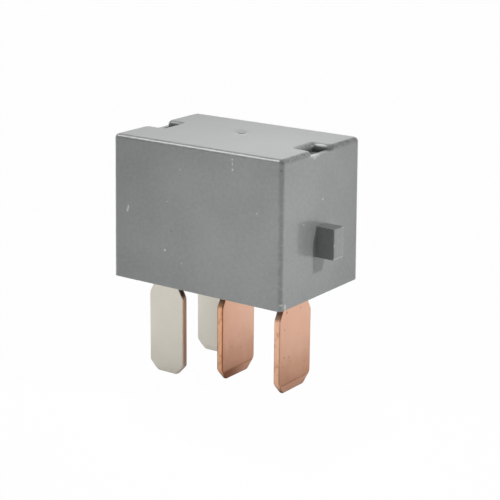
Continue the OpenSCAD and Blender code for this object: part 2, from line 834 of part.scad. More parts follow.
module terminal_load() color([0.8, 0.52, 0.38]) {
    strap_w = load_w - 2 * neck_in;
    translate([load_x, 0, 0]) blade(load_w, load_l, load_cut_h, load_shoulder, base_top);
    difference() {
        rotate([90, 0, 0]) translate([0, 0, -strap_w / 2]) linear_extrude(strap_w) strap_view();
        translate([contact_x, 0, arm_top - blade_t - past])
            cylinder(r = shank_r + press_gap, h = blade_t + 2 * past);
    }
}

// Coil terminal on side s: a blade, a collar on the base and a post for the wire
module coil_terminal(s) {
    translate([coil_x, s * coil_y, 0]) rotate([0, 0, 90])
        blade(coil_w, coil_l, coil_cut_h, coil_shoulder, base_top + yoke_t - collar_gap);
    translate([post_x - post_w / 2, s * coil_y - blade_t / 2, base_top]) cube([post_w, blade_t, post_h]);
}

module terminal_coil_front() color([0.78, 0.77, 0.74]) {
    coil_terminal(-1);
}

module terminal_coil_rear() color([0.78, 0.77, 0.74]) {
    coil_terminal(1);
}

cover();
base();
sealing_resin();
bobbin();
coil_winding();
coil_lead_start();
coil_lead_finish();
lead_solder();
core();
yoke();
armature();
contact_leaf();
armature_rivets();
yoke_rivets();
moving_contact();
fixed_contact();
terminal_load();
terminal_common();
terminal_coil_front();
terminal_coil_rear();
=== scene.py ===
"""Looks of a sealed plug-in relay: a grey moulded cover, four stamped blades and the switch inside."""

import json
import math

import bmesh
import bpy
from mathutils import Matrix, Vector


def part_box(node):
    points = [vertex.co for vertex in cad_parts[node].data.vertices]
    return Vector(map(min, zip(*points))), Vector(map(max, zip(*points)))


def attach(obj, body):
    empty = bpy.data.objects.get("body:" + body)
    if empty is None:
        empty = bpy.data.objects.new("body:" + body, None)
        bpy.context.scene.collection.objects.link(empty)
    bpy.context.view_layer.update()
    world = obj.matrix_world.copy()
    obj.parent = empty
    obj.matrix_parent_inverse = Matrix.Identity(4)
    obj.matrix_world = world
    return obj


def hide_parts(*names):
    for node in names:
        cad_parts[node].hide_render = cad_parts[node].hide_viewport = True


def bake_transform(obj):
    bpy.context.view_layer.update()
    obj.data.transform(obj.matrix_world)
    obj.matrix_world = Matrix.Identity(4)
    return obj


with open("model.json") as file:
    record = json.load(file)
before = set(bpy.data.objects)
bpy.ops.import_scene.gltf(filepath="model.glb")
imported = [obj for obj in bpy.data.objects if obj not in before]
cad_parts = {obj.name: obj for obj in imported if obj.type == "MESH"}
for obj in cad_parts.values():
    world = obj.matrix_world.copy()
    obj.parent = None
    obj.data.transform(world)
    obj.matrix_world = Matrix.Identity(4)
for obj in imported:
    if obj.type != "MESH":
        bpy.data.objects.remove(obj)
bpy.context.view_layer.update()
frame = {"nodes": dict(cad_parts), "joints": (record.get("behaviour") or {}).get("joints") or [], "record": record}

# Sizes are in millimetres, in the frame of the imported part, and meshes are scaled to metres at the end
MM = 0.001
X, Y, Z = 0, 1, 2

# How near places have to be to count as one: for merging points, for exact and for rough corners
SNAP = 1e-5
TINY = 1e-4
SLACK = 0.01
LOOSE = 0.2

# An edge is sharp above this angle between its faces, in radians, and upright above this height
SHARP = 0.7
UPRIGHT = 0.5

# A face looks along an axis if its normal has more than this along it
FACING = 0.99

# Cover
WALL = 0.9
ROOF = 1.0
LEAN = math.tan(math.radians(0.45))
CORNER_R = 0.56
TOP_R = 0.5
RIM_R = 0.05
NOTCH_REACH = 2.44
NOTCH_HALF = 1.75
NOTCH_DEPTH = 0.62
NOTCH_FLOOR = 0.7
LIP = 0.6
LIP_R = 0.16
MOUTH_R = 0.8
NOTCH_CORNER_R = 0.2
POCKET = 0.34
TAB_HALF = 0.95
TAB_LOW = 4.55
TAB_HIGH = 8.0
TAB_R = 0.14

# Gate mark in the top: middle, half of the square it is cut in, and radius and depth of its rings
GATE = Vector((-0.39, 1.5))
GATE_SQUARE = 1.425
GATE_CUTS = 7
GATE_RINGS = ((0.95, 0), (0.54, -0.065), (0.48, -0.08), (0.425, -0.025), (0.35, -0.01))

# Blades
SHEET = 0.8
TIP_CUT_W = 1.05
LOAD_CUT_H = 1.35
COIL_CUT_H = 1.15
NECK_IN = 0.78
SHOULDER_H = 1.4
LOAD_HALF = 3.15
LOAD_SHOULDER = -2.92
COIL_HALF = 2.4
COIL_SHOULDER = -2.14
COPPER_ARRIS = 0.14
TINNED_ARRIS = 0.15
COPPER_TIP_R = 0.2
TINNED_TIP_R = 0.18
SHOULDER_R = 0.22
STRAP_BEND_R = 1.2
STRAP_BEND_STEPS = 8
TANG_HALF = 1.5
POST_IN = 0.45
POST_W = 1.0

# Coined tips: height, share of the thickness that is left, and half height of the soft line above
COPPER_COIN = (1.1, 0.45)
TINNED_COIN = (0.6, 0.75)
COIN_BLEND = 0.06

# A blade's face is a cut edge if it looks more than CUT_Y along Y, or less than CUT_X along X under the rim
CUT_X = 0.8
CUT_Y = 0.6

# Levels inside, and how the resin creeps up beside walls and blades
RESIN_Z = 0.3
RESIN_CREEP = 0.2
RESIN_SPREAD = 0.3
RESIN_GRID = (110, 76)
BASE_Z = 1.0
BASE_TOP = 3.0
COLLAR_TOP = 3.8
FOOT_TOP = 4.2

# Winding and leaf spring
WIRE_D = 0.24
TURN_STEPS = 6
WINDING_STEPS = 72
HUB_R = 2.67
LEAF_T = 0.25
LEAF_BEND_R = 1.146
LEAF_BEND_STEPS = 10
LEAF_RISE = 2.1
LEAF_TIP_HALF = 2.0
TAPER_X = 3.5
TAPER_L = 1.8
WINDOW_HALF = 1.1
WINDOW_DROP = 1.2
WINDOW_L = 3.0

# Edge radii of the pieces that keep the CAD shape
SOFT_EDGES = {
    "base": 0.1, "bobbin": 0.1, "core": 0.06, "yoke": 0.08, "armature": 0.06, "armature_rivets": 0.05,
    "yoke_rivets": 0.05, "moving_contact": 0.06, "fixed_contact": 0.06, "lead_solder": 0.08,
}


def low_high(node):
    """A CAD node's lowest and highest corners, in millimetres."""
    low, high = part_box(node)
    return low / MM, high / MM


COVER_LOW, COVER_HIGH = low_high("cover")
HALF_L = -COVER_LOW.x
HALF_W = COVER_HIGH.y
TOP = COVER_HIGH.z
TAB_END = COVER_HIGH.x
TOP_END = HALF_L - TOP * LEAN
LIP_X = TOP_END - LIP
LOAD_LOW, LOAD_HIGH = low_high("terminal_load")
LOAD_X = LOAD_HIGH.x - SHEET / 2
LOAD_TIP = LOAD_LOW.z
COMMON_X = sum(v.x for v in low_high("terminal_common")) / 2
COIL_LOW, COIL_HIGH = low_high("terminal_coil_rear")
COIL_X = COIL_HIGH.x - COIL_HALF
COIL_TIP = COIL_LOW.z
COIL_Y = (COIL_LOW.y + COIL_HIGH.y) / 2
POST_TOP = COIL_HIGH.z
HINGE = Vector(frame["joints"][0]["pos_m"]) / MM


# Meshes

def box_mesh(low, high):
    """A box between two corners."""
    bm = bmesh.new()
    bmesh.ops.create_cube(bm, size=1)
    bmesh.ops.scale(bm, vec=high - low, verts=bm.verts)
    bmesh.ops.translate(bm, vec=(low + high) / 2, verts=bm.verts)
    return bm


def edges_of(faces):
    """The edges of some faces, each once and in order."""
    return list(dict.fromkeys(e for f in faces for e in f.edges))


def verts_of(pieces):
    """The vertices of some faces or edges, each once and in order."""
    return list(dict.fromkeys(v for piece in pieces for v in piece.verts))


def facing(bm, axis, sign, place=None):
    """Faces that look along an axis, at a place along it if one is given."""
    bm.normal_update()
    found = [f for f in bm.faces if f.normal[axis] * sign > FACING]
    if place is None:
        return found
    return [f for f in found if abs(f.calc_center_median()[axis] - place) < LOOSE]


def cut(bm, faces, axis, place):
    """Cuts faces where a coordinate has a value."""
    normal = Vector((0, 0, 0))
    normal[axis] = 1
    bmesh.ops.bisect_plane(
        bm, geom=list(faces) + edges_of(faces) + verts_of(faces), dist=SNAP,
        plane_co=normal * place, plane_no=normal,
    )


def within(faces, low, high):
    """Faces whose middle lies between two corners."""
    middles = [(f, f.calc_center_median()) for f in faces]
    return [f for f, m in middles if all(low[i] < m[i] < high[i] for i in range(3))]


def pull(bm, faces, step):
    """Extrudes faces by a step."""
    made = bmesh.ops.extrude_discrete_faces(bm, faces=faces)["faces"]
    bmesh.ops.translate(bm, vec=step, verts=verts_of(made))


def draw_edge(bm, edges, step):
    """Extrudes edges by a step and returns the moved ones."""
    made = bmesh.ops.extrude_edge_only(bm, edges=edges)["geom"]
    moved = [g for g in made if isinstance(g, bmesh.types.BMVert)]
    bmesh.ops.translate(bm, vec=step, verts=moved)
    return [g for g in made if isinstance(g, bmesh.types.BMEdge) and all(v in moved for v in g.verts)]


def bend_edge(bm, edges, centre, angle, steps):
    """Spins edges about a line along Y and returns the moved ones."""
    made = bmesh.ops.spin(
        bm, geom=edges, cent=centre, axis=Vector((0, 1, 0)), angle=angle, steps=steps, use_merge=False,
    )["geom_last"]
    return [g for g in made if isinstance(g, bmesh.types.BMEdge)]


def thicken(bm, depth):
    """Gives a sheet its thickness, away from the side that it was drawn on."""
    bm.normal_update()
    bmesh.ops.solidify(bm, geom=bm.faces[:], thickness=-depth)
    bmesh.ops.recalc_face_normals(bm, faces=bm.faces)
    bm.normal_update()


def join_flat(bm, edges, degrees):
    """Joins faces across edges that bend less than an angle."""
    bmesh.ops.dissolve_limit(bm, angle_limit=math.radians(degrees), verts=bm.verts, edges=edges)
    bm.normal_update()


def boundary(bm):
    """The edges of a mesh's openings."""
    return [e for e in bm.edges if e.is_boundary]


def edges_where(bm, test):
    """Edges whose two ends both pass a test on their place."""
    return [e for e in bm.edges if all(test(v.co) for v in e.verts)]


def upright(edges):
    """Those edges that rise from one end to the other."""
    return [e for e in edges if abs(e.verts[0].co.z - e.verts[1].co.z) > UPRIGHT]


def sharp_edges(edges):
    """Those edges that have two faces at a sharp angle."""
    return [e for e in edges if len(e.link_faces) == 2 and e.calc_face_angle(0) > SHARP]


def outer_edges(edges):
    """Those edges that are sharp and stand outwards."""
    return [e for e in sharp_edges(edges) if e.is_convex]


def round_edges(bm, edges, radius, segments):
    """Rounds edges and marks the new rows of vertices between the old faces as edge."""
    layer = bm.verts.layers.float.get("edge") or bm.verts.layers.float.new("edge")
    made = bmesh.ops.bevel(
        bm, geom=edges, offset=radius, offset_type="OFFSET", segments=segments, profile=0.5,
        affect="EDGES", clamp_overlap=False, loop_slide=True, material=-1,
    )
    new_faces = set(made["faces"])
    for v in made["verts"]:
        if all(f in new_faces for f in v.link_faces):
            v[layer] = 1.0
    bm.normal_update()


def add_object(name, data):
    """A new object in the scene."""
    made = bpy.data.objects.new(name, data)
    bpy.context.scene.collection.objects.link(made)
    return made


def finish_mesh(bm, name, materials, body, replaced, sharp=40):
    """Makes a mesh in millimetres a piece on a body, in place of a CAD node, creased above an angle."""
    bmesh.ops.scale(bm, vec=Vector((MM, MM, MM)), verts=bm.verts)
    bm.normal_update()
    for f in bm.faces:
        f.smooth = True
    for e in bm.edges:
        if len(e.link_faces) == 2:
            e.smooth = e.calc_face_angle(0) < math.radians(sharp)
    mesh = bpy.data.meshes.new(name)
    bm.to_mesh(mesh)
    bm.free()
    piece = add_object(name, mesh)
    for material in materials:
        mesh.materials.append(material)
    flat = piece.modifiers.new("flat_faces", "WEIGHTED_NORMAL")
    flat.keep_sharp = True
    if body:
        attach(piece, body)
    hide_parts(replaced)
    return piece


# Finishes

class Value:
    """A shader socket; Python's operators on it add Math nodes."""

    def __init__(self, finish, socket):
        self.finish = finish
        self.socket = socket

    def __add__(self, other):
        return self.finish.math("ADD", self, other)

    def __sub__(self, other):
        return self.finish.math("SUBTRACT", self, other)

    def __rsub__(self, other):
        return self.finish.math("SUBTRACT", other, self)

    def __mul__(self, other):
        return self.finish.math("MULTIPLY", self, other)

    def __abs__(self):
        return self.finish.math("ABSOLUTE", self)

    __radd__ = __add__
    __rmul__ = __mul__


class Finish:
    """The shader nodes of a material or world, with patterns in millimetres on the piece."""

    def __init__(self, owner, shader):
        owner.use_nodes = True
        self.owner = owner
        self.tree = owner.node_tree
        self.shader = self.tree.nodes[shader]
        here = self.node("TexCoord", {}, {}, "Object")
        self.place = self.node("VectorMath", {"operation": "MULTIPLY"}, {0: here, 1: (1 / MM,) * 3})

    def feed(self, socket, value):
        """Links a value to a socket, or sets a plain number or colour on it."""
        if isinstance(value, Value):
            self.tree.links.new(value.socket, socket)
        else:
            socket.default_value = value

    def node(self, kind, settings, sockets, output=0):
        """Adds a node with its settings and the values or links of its sockets."""
        made = self.tree.nodes.new("ShaderNode" + kind)
        for name, value in settings.items():
            setattr(made, name, value)
        for name, value in sockets.items():
            self.feed(made.inputs[name], value)
        return Value(self, made.outputs[output])

    def math(self, operation, *values):
        """Adds a Math node."""
        return self.node("Math", {"operation": operation}, dict(enumerate(values)))

    def either(self, first, second):
        """The stronger of two masks."""
        return self.math("MAXIMUM", first, second)

    def axis(self, name):
        """One coordinate on the piece, in millimetres."""
        return self.node("SeparateXYZ", {}, {0: self.place}, name)

    def noise(self, scale, detail=2.0, roughness=0.5, stretch=(1, 1, 1)):
        """Soft noise with a number of lumps to the millimetre, from 0 to 1."""
        spot = self.node("VectorMath", {"operation": "MULTIPLY"}, {0: self.place, 1: stretch})
        return self.node("TexNoise", {}, {
            "Vector": spot, "Scale": scale, "Detail": detail, "Roughness": roughness,
        })

    def ramp(self, value, low, high):
        """Smooth step from 0 at one value to 1 at another."""
        return self.node("MapRange", {"interpolation_type": "SMOOTHSTEP"}, {0: value, 1: low, 2: high})

    def attribute(self, name):
        """A number kept on the piece's vertices."""
        return self.node("Attribute", {"attribute_name": name}, {}, "Fac")

    def mix(self, mask, first, second):
        """A colour between two, by a mask."""
        return self.node("Mix", {"data_type": "RGBA"}, {0: mask, 6: first, 7: second}, 2)

    def spot(self, centre, radii, soft=0.5):
        """Mask of a mark round a place, with its half sizes along the axes."""
        off = self.node("VectorMath", {"operation": "SUBTRACT"}, {0: self.place, 1: centre})
        share = self.node("VectorMath", {"operation": "DIVIDE"}, {0: off, 1: radii})
        reach = self.node("VectorMath", {"operation": "LENGTH"}, {0: share}, "Value")
        return 1 - self.ramp(reach, 1 - soft, 1 + soft)

    def specks(self, scale, size, share):
        """Mask of scattered dots: cells to the millimetre, dot size in cells, share of cells used."""
        cells = self.node("TexVoronoi", {}, {"Vector": self.place, "Scale": scale})
        tint = Value(self, cells.socket.node.outputs["Color"])
        pick = self.node("SeparateColor", {}, {0: tint}, "Red")
        return (1 - self.ramp(cells, size * 0.5, size)) * self.math("LESS_THAN", pick, share)

    def bump(self, height, depth, strength=1.0):
        """Normal of a relief whose height of 1 stands for a depth in millimetres."""
        return self.node("Bump", {}, {"Height": height, "Distance": depth * MM, "Strength": strength})

    def done(self, **sockets):
        """Feeds the shader's sockets, written with _ for spaces."""
        for name, value in sockets.items():
            self.feed(self.shader.inputs[name.replace("_", " ")], value)
        return self.owner


def new_finish(name):
    """The finish of a new material."""
    return Finish(bpy.data.materials.new(name), "Principled BSDF")


def grey(level):
    """A plain grey colour."""
    return (level, level, level, 1)


# Colours of the cover
GREY_DEEP = (0.26, 0.271, 0.27, 1)
GREY_PALE = (0.313, 0.323, 0.32, 1)
WORN_EDGE = (0.42, 0.43, 0.42, 1)
# Pale tab edges: wear and a painted highlight
TAB_EDGE_WEAR_AND_HIGHLIGHT = (0.66, 0.67, 0.64, 1)
NICK = (0.76, 0.77, 0.74, 1)
PIT = (0.1, 0.105, 0.105, 1)
POCKET_SHADE = (0.05, 0.052, 0.052, 1)
# Painted highlight colour of the bright places by the notch
PAINTED_GLINT = grey(0.95)
# Painted shade with grime along the ends' rounded top edges
END_SHADE_AND_GRIME = (0.08, 0.084, 0.084, 1)

# Pale nicks on the cover: middle, half sizes and strength
PALE_MARKS = (
    ((-9.3, -7.74, 8.36), (0.12, 0.4, 0.24), 1),
    ((-9.42, -7.74, 8.02), (0.12, 0.4, 0.2), 1),
    ((4.97, -7.7, 15.72), (0.09, 0.4, 0.1), 1),
    ((5.0, -7.74, 15.25), (0.06, 0.4, 0.16), 1),
    ((5.03, -7.74, 14.62), (0.1, 0.4, 0.13), 1),
    ((-4.1, -7.74, 4.24), (0.14, 0.4, 0.12), 1),
    ((11.4, -7.62, 11.9), (0.14, 0.14, 0.16), 1),
    ((11.4, -7.62, 10.1), (0.12, 0.12, 0.12), 1),
    ((11.45, -6.95, 0.4), (0.3, 0.12, 0.35), 1),
    ((11.3, -7.5, 0.72), (0.2, 0.22, 0.12), 1),
    ((11.45, -3.49, 8.72), (0.4, 0.1, 0.1), 1),
    ((11.45, 0.18, 10.85), (0.4, 0.12, 0.08), 1),
    ((11.1, -1.1, 15.86), (0.4, 0.7, 0.18), 0.5),
    ((11.3, -1.5, 15.75), (0.25, 0.35, 0.22), 0.55),
)

# Painted highlights by the notch, and dark pits on the cover: middle and half sizes
PAINTED_GLINTS = (
    ((9.95, 1.85, 16.28), (0.7, 0.25, 0.14)),
    ((9.1, 1.6, 16.15), (0.16, 0.16, 0.16)),
)
DARK_MARKS = (
    ((11.2, -7.56, 15.35), (0.14, 0.14, 0.13)),
    ((-3.24, -7.74, 6.56), (0.11, 0.4, 0.11)),
    ((0.08, -7.74, 9.69), (0.08, 0.4, 0.08)),
)


def tab_edge_wear_and_highlight(f, mottle):
    """Mask of the key tab's pale edges, rubbed and with a painted highlight: whole at the bottom and the far side,
    patchy elsewhere.
    """
    on_tab = f.ramp(f.axis("X"), TAB_END - 0.25, TAB_END - 0.15)
    low_edge = 1 - f.ramp(f.axis("Z"), TAB_LOW + 0.15, TAB_LOW + 0.3)
    far_edge = f.ramp(f.axis("Y"), TAB_HALF - 0.35, TAB_HALF - 0.2)
    rubbed = f.either(f.either(far_edge, low_edge), f.ramp(mottle, 0.56, 0.66))
    return f.attribute("edge") * on_tab * rubbed


def notch_pocket_shade(f):
    """Mask of painted shade in the pockets behind the lips of the notches."""
    length = abs(f.axis("X"))
    height = f.axis("Z")
    back = HALF_L - NOTCH_REACH
    along = f.ramp(length, back - 0.4, back - 0.2) * (1 - f.ramp(length, LIP_X - 0.1, LIP_X))
    upwards = f.ramp(height, TOP - 1.1, TOP - 1) * (1 - f.ramp(height, TOP - 0.8, TOP - 0.4))
    return along * upwards * (1 - f.ramp(abs(f.axis("Y")), NOTCH_HALF, NOTCH_HALF + 0.2))


def end_edge_shade_and_grime(f, mottle, grain):
    """Mask of the patchy darkening along the rounded top edges of the two ends: painted shade of a dark band
    there, broken up with grime.
    """
    at_end = f.ramp(abs(f.axis("X")), TOP_END - 0.5, TOP_END - 0.2)
    rolled = at_end * f.ramp(f.axis("Z"), TOP - 0.7, TOP - 0.35)
    return rolled * (0.25 + f.ramp(mottle * 0.6 + grain * 0.4, 0.46, 0.58) * 0.75)


def moulded_grey():
    """Semi-matte grey moulding with fine grain, worn edges, nicks and pits, painted shade in the notch pockets and
    along the ends' top edges, and painted highlights on the tab and by the notch.
    """
    f = new_finish("moulded_grey")
    cloud = f.noise(0.16, 3)
    mottle = f.noise(2.2, 4, 0.6)
    grain = f.noise(9, 3, 0.6)
    tone = f.ramp(cloud * 0.4 + mottle * 0.4 + grain * 0.2, 0.35, 0.65)
    colour = f.mix(tone, GREY_DEEP, GREY_PALE)
    worn = f.attribute("edge") * f.ramp(f.noise(1.6, 3), 0.42, 0.62)
    colour = f.mix(worn * 0.35, colour, WORN_EDGE)
    # Wear and a painted highlight along the key tab's edges
    colour = f.mix(tab_edge_wear_and_highlight(f, mottle) * 0.9, colour, TAB_EDGE_WEAR_AND_HIGHLIGHT)
    pale = f.specks(0.5, 0.06, 0.16) * 0.6
    pits = f.specks(0.42, 0.05, 0.16)
    for centre, radii, strength in PALE_MARKS:
        pale = f.either(pale, f.spot(centre, radii) * strength)
    for centre, radii in DARK_MARKS:
        pits = f.either(pits, f.spot(centre, radii))
    colour = f.mix(pale * (0.6 + f.ramp(grain, 0.35, 0.6) * 0.4) * 0.85, colour, NICK)
    colour = f.mix(pits * 0.55, colour, PIT)
    # Painted shade darkens the notch pockets
    colour = f.mix(notch_pocket_shade(f) * 0.65, colour, POCKET_SHADE)
    # Painted highlights on the notch's far wall and at its back corner
    for centre, radii in PAINTED_GLINTS:
        colour = f.mix(f.spot(centre, radii) * 0.9, colour, PAINTED_GLINT)
    # Painted shade, patchy with grime, along the rounded top edges of the ends
    colour = f.mix(end_edge_shade_and_grime(f, mottle, grain) * 0.62, colour, END_SHADE_AND_GRIME)
    relief = grain * 0.5 + mottle * 0.35 - pits * 0.8 + pale * 0.3
    return f.done(
        Base_Color=colour,
        Roughness=0.28 + mottle * 0.1 + cloud * 0.06,
        Normal=f.bump(relief, 0.012, 0.5),
    )


# Colours of the copper blades' faces and of their cut edges
COPPER_PALE = (0.97, 0.625, 0.47, 1)
COPPER_DEEP = (0.92, 0.55, 0.4, 1)
COPPER_BROWN = (0.6, 0.3, 0.18, 1)
# Brown stain with painted shade: the dark reflection of the shaded floor in the coined tip
COIN_STAIN_AND_SHADE = (0.24, 0.055, 0.01, 1)
COIN_LINE = (0.36, 0.14, 0.06, 1)
COPPER_SPECK = (0.32, 0.12, 0.06, 1)
# Painted shade: the dark reflection along the copper arrises
ARRIS_SHADE = (0.42, 0.135, 0.04, 1)
# Painted shade at the very tip of the copper blades
TIP_SHADE = (0.16, 0.05, 0.025, 1)
CUT_ORANGE = (0.96, 0.55, 0.34, 1)
CUT_PINK = (1, 0.62, 0.44, 1)
CUT_BREAK = (0.7, 0.36, 0.21, 1)
CUT_SHADE = (0.12, 0.055, 0.035, 1)
CUT_STAIN = (0.16, 0.065, 0.035, 1)
# Painted shade at the tip end of the copper cut edges
CUT_TIP_SHADE = (0.12, 0.05, 0.03, 1)

# Places along the part between the middle copper blade and the end one
BETWEEN_BLADES = (3, 5)

# Specks on the faces of the copper blades: the sheet's middle, place across and up, and half size
COPPER_MARKS = (
    (LOAD_X, -1.8, -2.2, 0.15),
    (LOAD_X, 1, -2.3, 0.1),
    (LOAD_X, -2.2, -4.1, 0.09),
    (LOAD_X, 0.7, -5.3, 0.07),
    (LOAD_X, -2.2, -7.4, 0.12),
    (LOAD_X, -1.2, -7.6, 0.11),
    (LOAD_X, -1, -8.1, 0.08),
    (LOAD_X, -2.4, -8.4, 0.09),
    (LOAD_X, 1.9, -8.9, 0.09),
    (COMMON_X, -1.5, -7.9, 0.07),
    (COMMON_X, 0.4, -8.5, 0.07),
)


def rolled_metal(name, light, dark):
    """Rolled sheet with faint lines along it and soft stains; returns its finish and patterns."""
    f = new_finish(name)
    lines = f.noise(6, 3, 0.6, (1.2, 1.2, 0.08))
    stain = f.noise(0.45, 4, 0.6)
    fine = f.noise(4, 3, 0.6)
    tone = f.ramp(lines * 0.15 + stain * 0.55 + fine * 0.3, 0.32, 0.68)
    return f, f.mix(tone, dark, light), lines, stain, fine


def arris_shade(f, colour, pattern, end_blade):
    """A copper colour with patchy painted shade, a brown dark reflection, along the blade's arrises, less of it on
    the end blade.
    """
    arris = f.ramp(f.attribute("edge"), 0, 0.6) * f.ramp(pattern, 0.2, 0.45)
    return f.mix(arris * (0.88 - end_blade * 0.43), colour, ARRIS_SHADE)


def bare_copper():
    """Pink rolled copper with specks, browner down the blades, with stain and painted shade in the middle one's
    coined tip and painted shade along the arrises and at the tip.
    """
    f, colour, lines, stain, fine = rolled_metal("bare_copper", COPPER_PALE, COPPER_DEEP)
    height = f.axis("Z")
    end_blade = f.ramp(f.axis("X"), *BETWEEN_BLADES)
    coin_top = LOAD_TIP + COPPER_COIN[0]
    coined = 1 - f.ramp(height, coin_top - 0.15, coin_top + 0.1)
    low = 1 - f.ramp(height + stain * 3, LOAD_TIP + 1, LOAD_TIP + 8)
    brown = low * (0.86 - end_blade * 0.16) + end_blade * 0.2
    colour = f.mix(brown * (1 - coined * 0.35), colour, COPPER_BROWN)
    across = f.ramp(f.axis("Y"), -2.5, 2)
    # Stain and painted shade in the middle blade's coined tip, darkest at the front
    coin_stain_and_shade = coined * (0.8 - across * 0.72) * (1 - end_blade * 0.9)
    colour = f.mix(coin_stain_and_shade, colour, COIN_STAIN_AND_SHADE)
    below_line = 1 - f.ramp(height, coin_top, coin_top + 0.2)
    coin_line = f.ramp(height, coin_top - 0.15, coin_top) * below_line
    colour = f.mix(coin_line * f.ramp(fine, 0.35, 0.55) * 0.6, colour, COIN_LINE)
    specks = f.either(f.specks(0.5, 0.09, 0.25), f.specks(1.6, 0.28, 0.12))
    specks = specks * f.ramp(stain, 0.4, 0.6)
    for sheet_x, y, z, size in COPPER_MARKS:
        specks = f.either(specks, f.spot((sheet_x + SHEET / 2, y, z), (0.3, size, size)))
    colour = f.mix(specks * 0.5, colour, COPPER_SPECK)
    colour = arris_shade(f, colour, fine, end_blade)
    # Painted shade at the tip's end, where the end faces lie in shadow
    tip = 1 - f.ramp(height + fine * 0.3, LOAD_TIP + 0.15, LOAD_TIP + 0.4)
    colour = f.mix(tip * 0.8, colour, TIP_SHADE)
    return f.done(
        Base_Color=colour, Metallic=1.0, Roughness=0.36 + lines * 0.06 + stain * 0.1,
        Normal=f.bump(lines * 0.5 + fine * 0.5, 0.004, 0.5),
    )


def copper_edge():
    """Sheared copper edge: orange with rough breaks, pinker on the end blade, with painted shade at its two ends.
    """
    f = new_finish("copper_edge")
    breaks = f.noise(1.6, 4, 0.65, (1, 1, 0.5))
    end_blade = f.ramp(f.axis("X"), *BETWEEN_BLADES)
    colour = f.mix(end_blade, CUT_ORANGE, CUT_PINK)
    colour = f.mix(f.ramp(breaks, 0.46, 0.74), colour, CUT_BREAK)
    shoulder = f.ramp(f.axis("Z"), LOAD_SHOULDER, LOAD_SHOULDER + 0.9)
    colour = f.mix(shoulder * 0.75, colour, CUT_SHADE)
    far_face = COMMON_X - SHEET / 2
    far_side = 1 - f.ramp(f.axis("X"), far_face + 0.05, far_face + 0.25)
    colour = f.mix(far_side * f.ramp(f.noise(2.2, 2), 0.4, 0.56) * 0.9, colour, CUT_STAIN)
    colour = arris_shade(f, colour, breaks, end_blade)
    # Painted shade towards the tip of the cut edge
    tip = 1 - f.ramp(f.axis("Z") + breaks * 0.4, LOAD_TIP + 0.3, LOAD_TIP + 1.5)
    colour = f.mix(tip * 0.85, colour, CUT_TIP_SHADE)
    return f.done(
        Base_Color=colour, Metallic=1.0, Roughness=0.38 + breaks * 0.15,
        Normal=f.bump(breaks, 0.03, 0.6),
    )


# Colours of the tinned blades' faces and of their cut edges
TIN_PALE = (0.78, 0.75, 0.665, 1)
TIN_DEEP = (0.74, 0.705, 0.62, 1)
# Painted light: paler tin for the rear blade, whose reflection is dimmer
TIN_REAR_PAINTED_LIGHT = (0.93, 0.9, 0.82, 1)
TIN_ARRIS = (0.42, 0.33, 0.26, 1)
TIN_CUT = (0.54, 0.455, 0.39, 1)
TIN_CUT_OUTER = (0.75, 0.59, 0.48, 1)
TIN_CUT_INNER = (0.42, 0.335, 0.28, 1)
TIN_CUT_SHADE = (0.07, 0.045, 0.035, 1)


def tinned_copper():
    """Satin tin plate with a warm tint, almost even, and painted light that makes the rear blade paler."""
    f, colour, lines, stain, fine = rolled_metal("tinned_copper", TIN_PALE, TIN_DEEP)
    # Painted light lifts the rear blade
    colour = f.mix(f.ramp(f.axis("Y"), -1, 1) * 0.5, colour, TIN_REAR_PAINTED_LIGHT)
    arris = f.attribute("edge") * f.ramp(fine, 0.3, 0.55)
    colour = f.mix(arris * 0.35, colour, TIN_ARRIS)
    return f.done(
        Base_Color=colour, Metallic=1.0, Roughness=0.42 + lines * 0.05 + stain * 0.08,
        Normal=f.bump(lines * 0.4 + fine * 0.6, 0.004, 0.5),
    )


def tinned_edge():
    """Sheared edge of tinned sheet: brown copper by the outer face and smeared tin by the inner one."""
    f = new_finish("tinned_edge")
    breaks = f.noise(1.5, 3)
    across = (abs(f.axis("Y")) - COIL_Y) * (2 / SHEET)
    outer = f.ramp(across + breaks * 0.3, 0.4, 1.0)
    inner = 1 - f.ramp(across + breaks * 0.4, -0.9, 0.1)
    colour = f.mix(outer, TIN_CUT, TIN_CUT_OUTER)
    colour = f.mix(inner * 0.8, colour, TIN_CUT_INNER)
    shoulder = f.ramp(f.axis("Z"), COIL_SHOULDER - 0.1, COIL_SHOULDER + 0.5)
    colour = f.mix(shoulder * 0.8, colour, TIN_CUT_SHADE)
    return f.done(Base_Color=colour, Metallic=1.0, Roughness=0.42 + breaks * 0.1)


# Colours of the resin and the wire
RESIN_DEEP = (0.03, 0.028, 0.026, 1)
RESIN_PALE = (0.055, 0.05, 0.044, 1)
WIRE_DEEP = (0.42, 0.13, 0.05, 1)
WIRE_PALE = (0.6, 0.22, 0.09, 1)

# Plain mouldings inside: two colours and the roughness
MOULDINGS = {
    "base_black": ((0.022, 0.024, 0.026, 1), (0.038, 0.04, 0.042, 1), 0.42),
    "bobbin_natural": ((0.68, 0.64, 0.53, 1), (0.76, 0.73, 0.64, 1), 0.4),
}

# Plain metals inside: light and dark colour, roughness and the stretch of the lines
METALS = {
    "solder": ((0.7, 0.7, 0.68, 1), (0.5, 0.5, 0.48, 1), 0.3, (1, 1, 1)),
    "plated_iron": ((0.62, 0.61, 0.58, 1), (0.48, 0.47, 0.45, 1), 0.32, (1, 0.1, 1)),
    "leaf_alloy": ((0.8, 0.5, 0.31, 1), (0.64, 0.37, 0.21, 1), 0.3, (0.1, 1, 1)),
    "rivet_brass": ((0.8, 0.62, 0.33, 1), (0.62, 0.45, 0.2, 1), 0.3, (1, 1, 1)),
    "contact_silver": ((0.86, 0.84, 0.79, 1), (0.7, 0.68, 0.62, 1), 0.26, (1, 1, 1)),
}


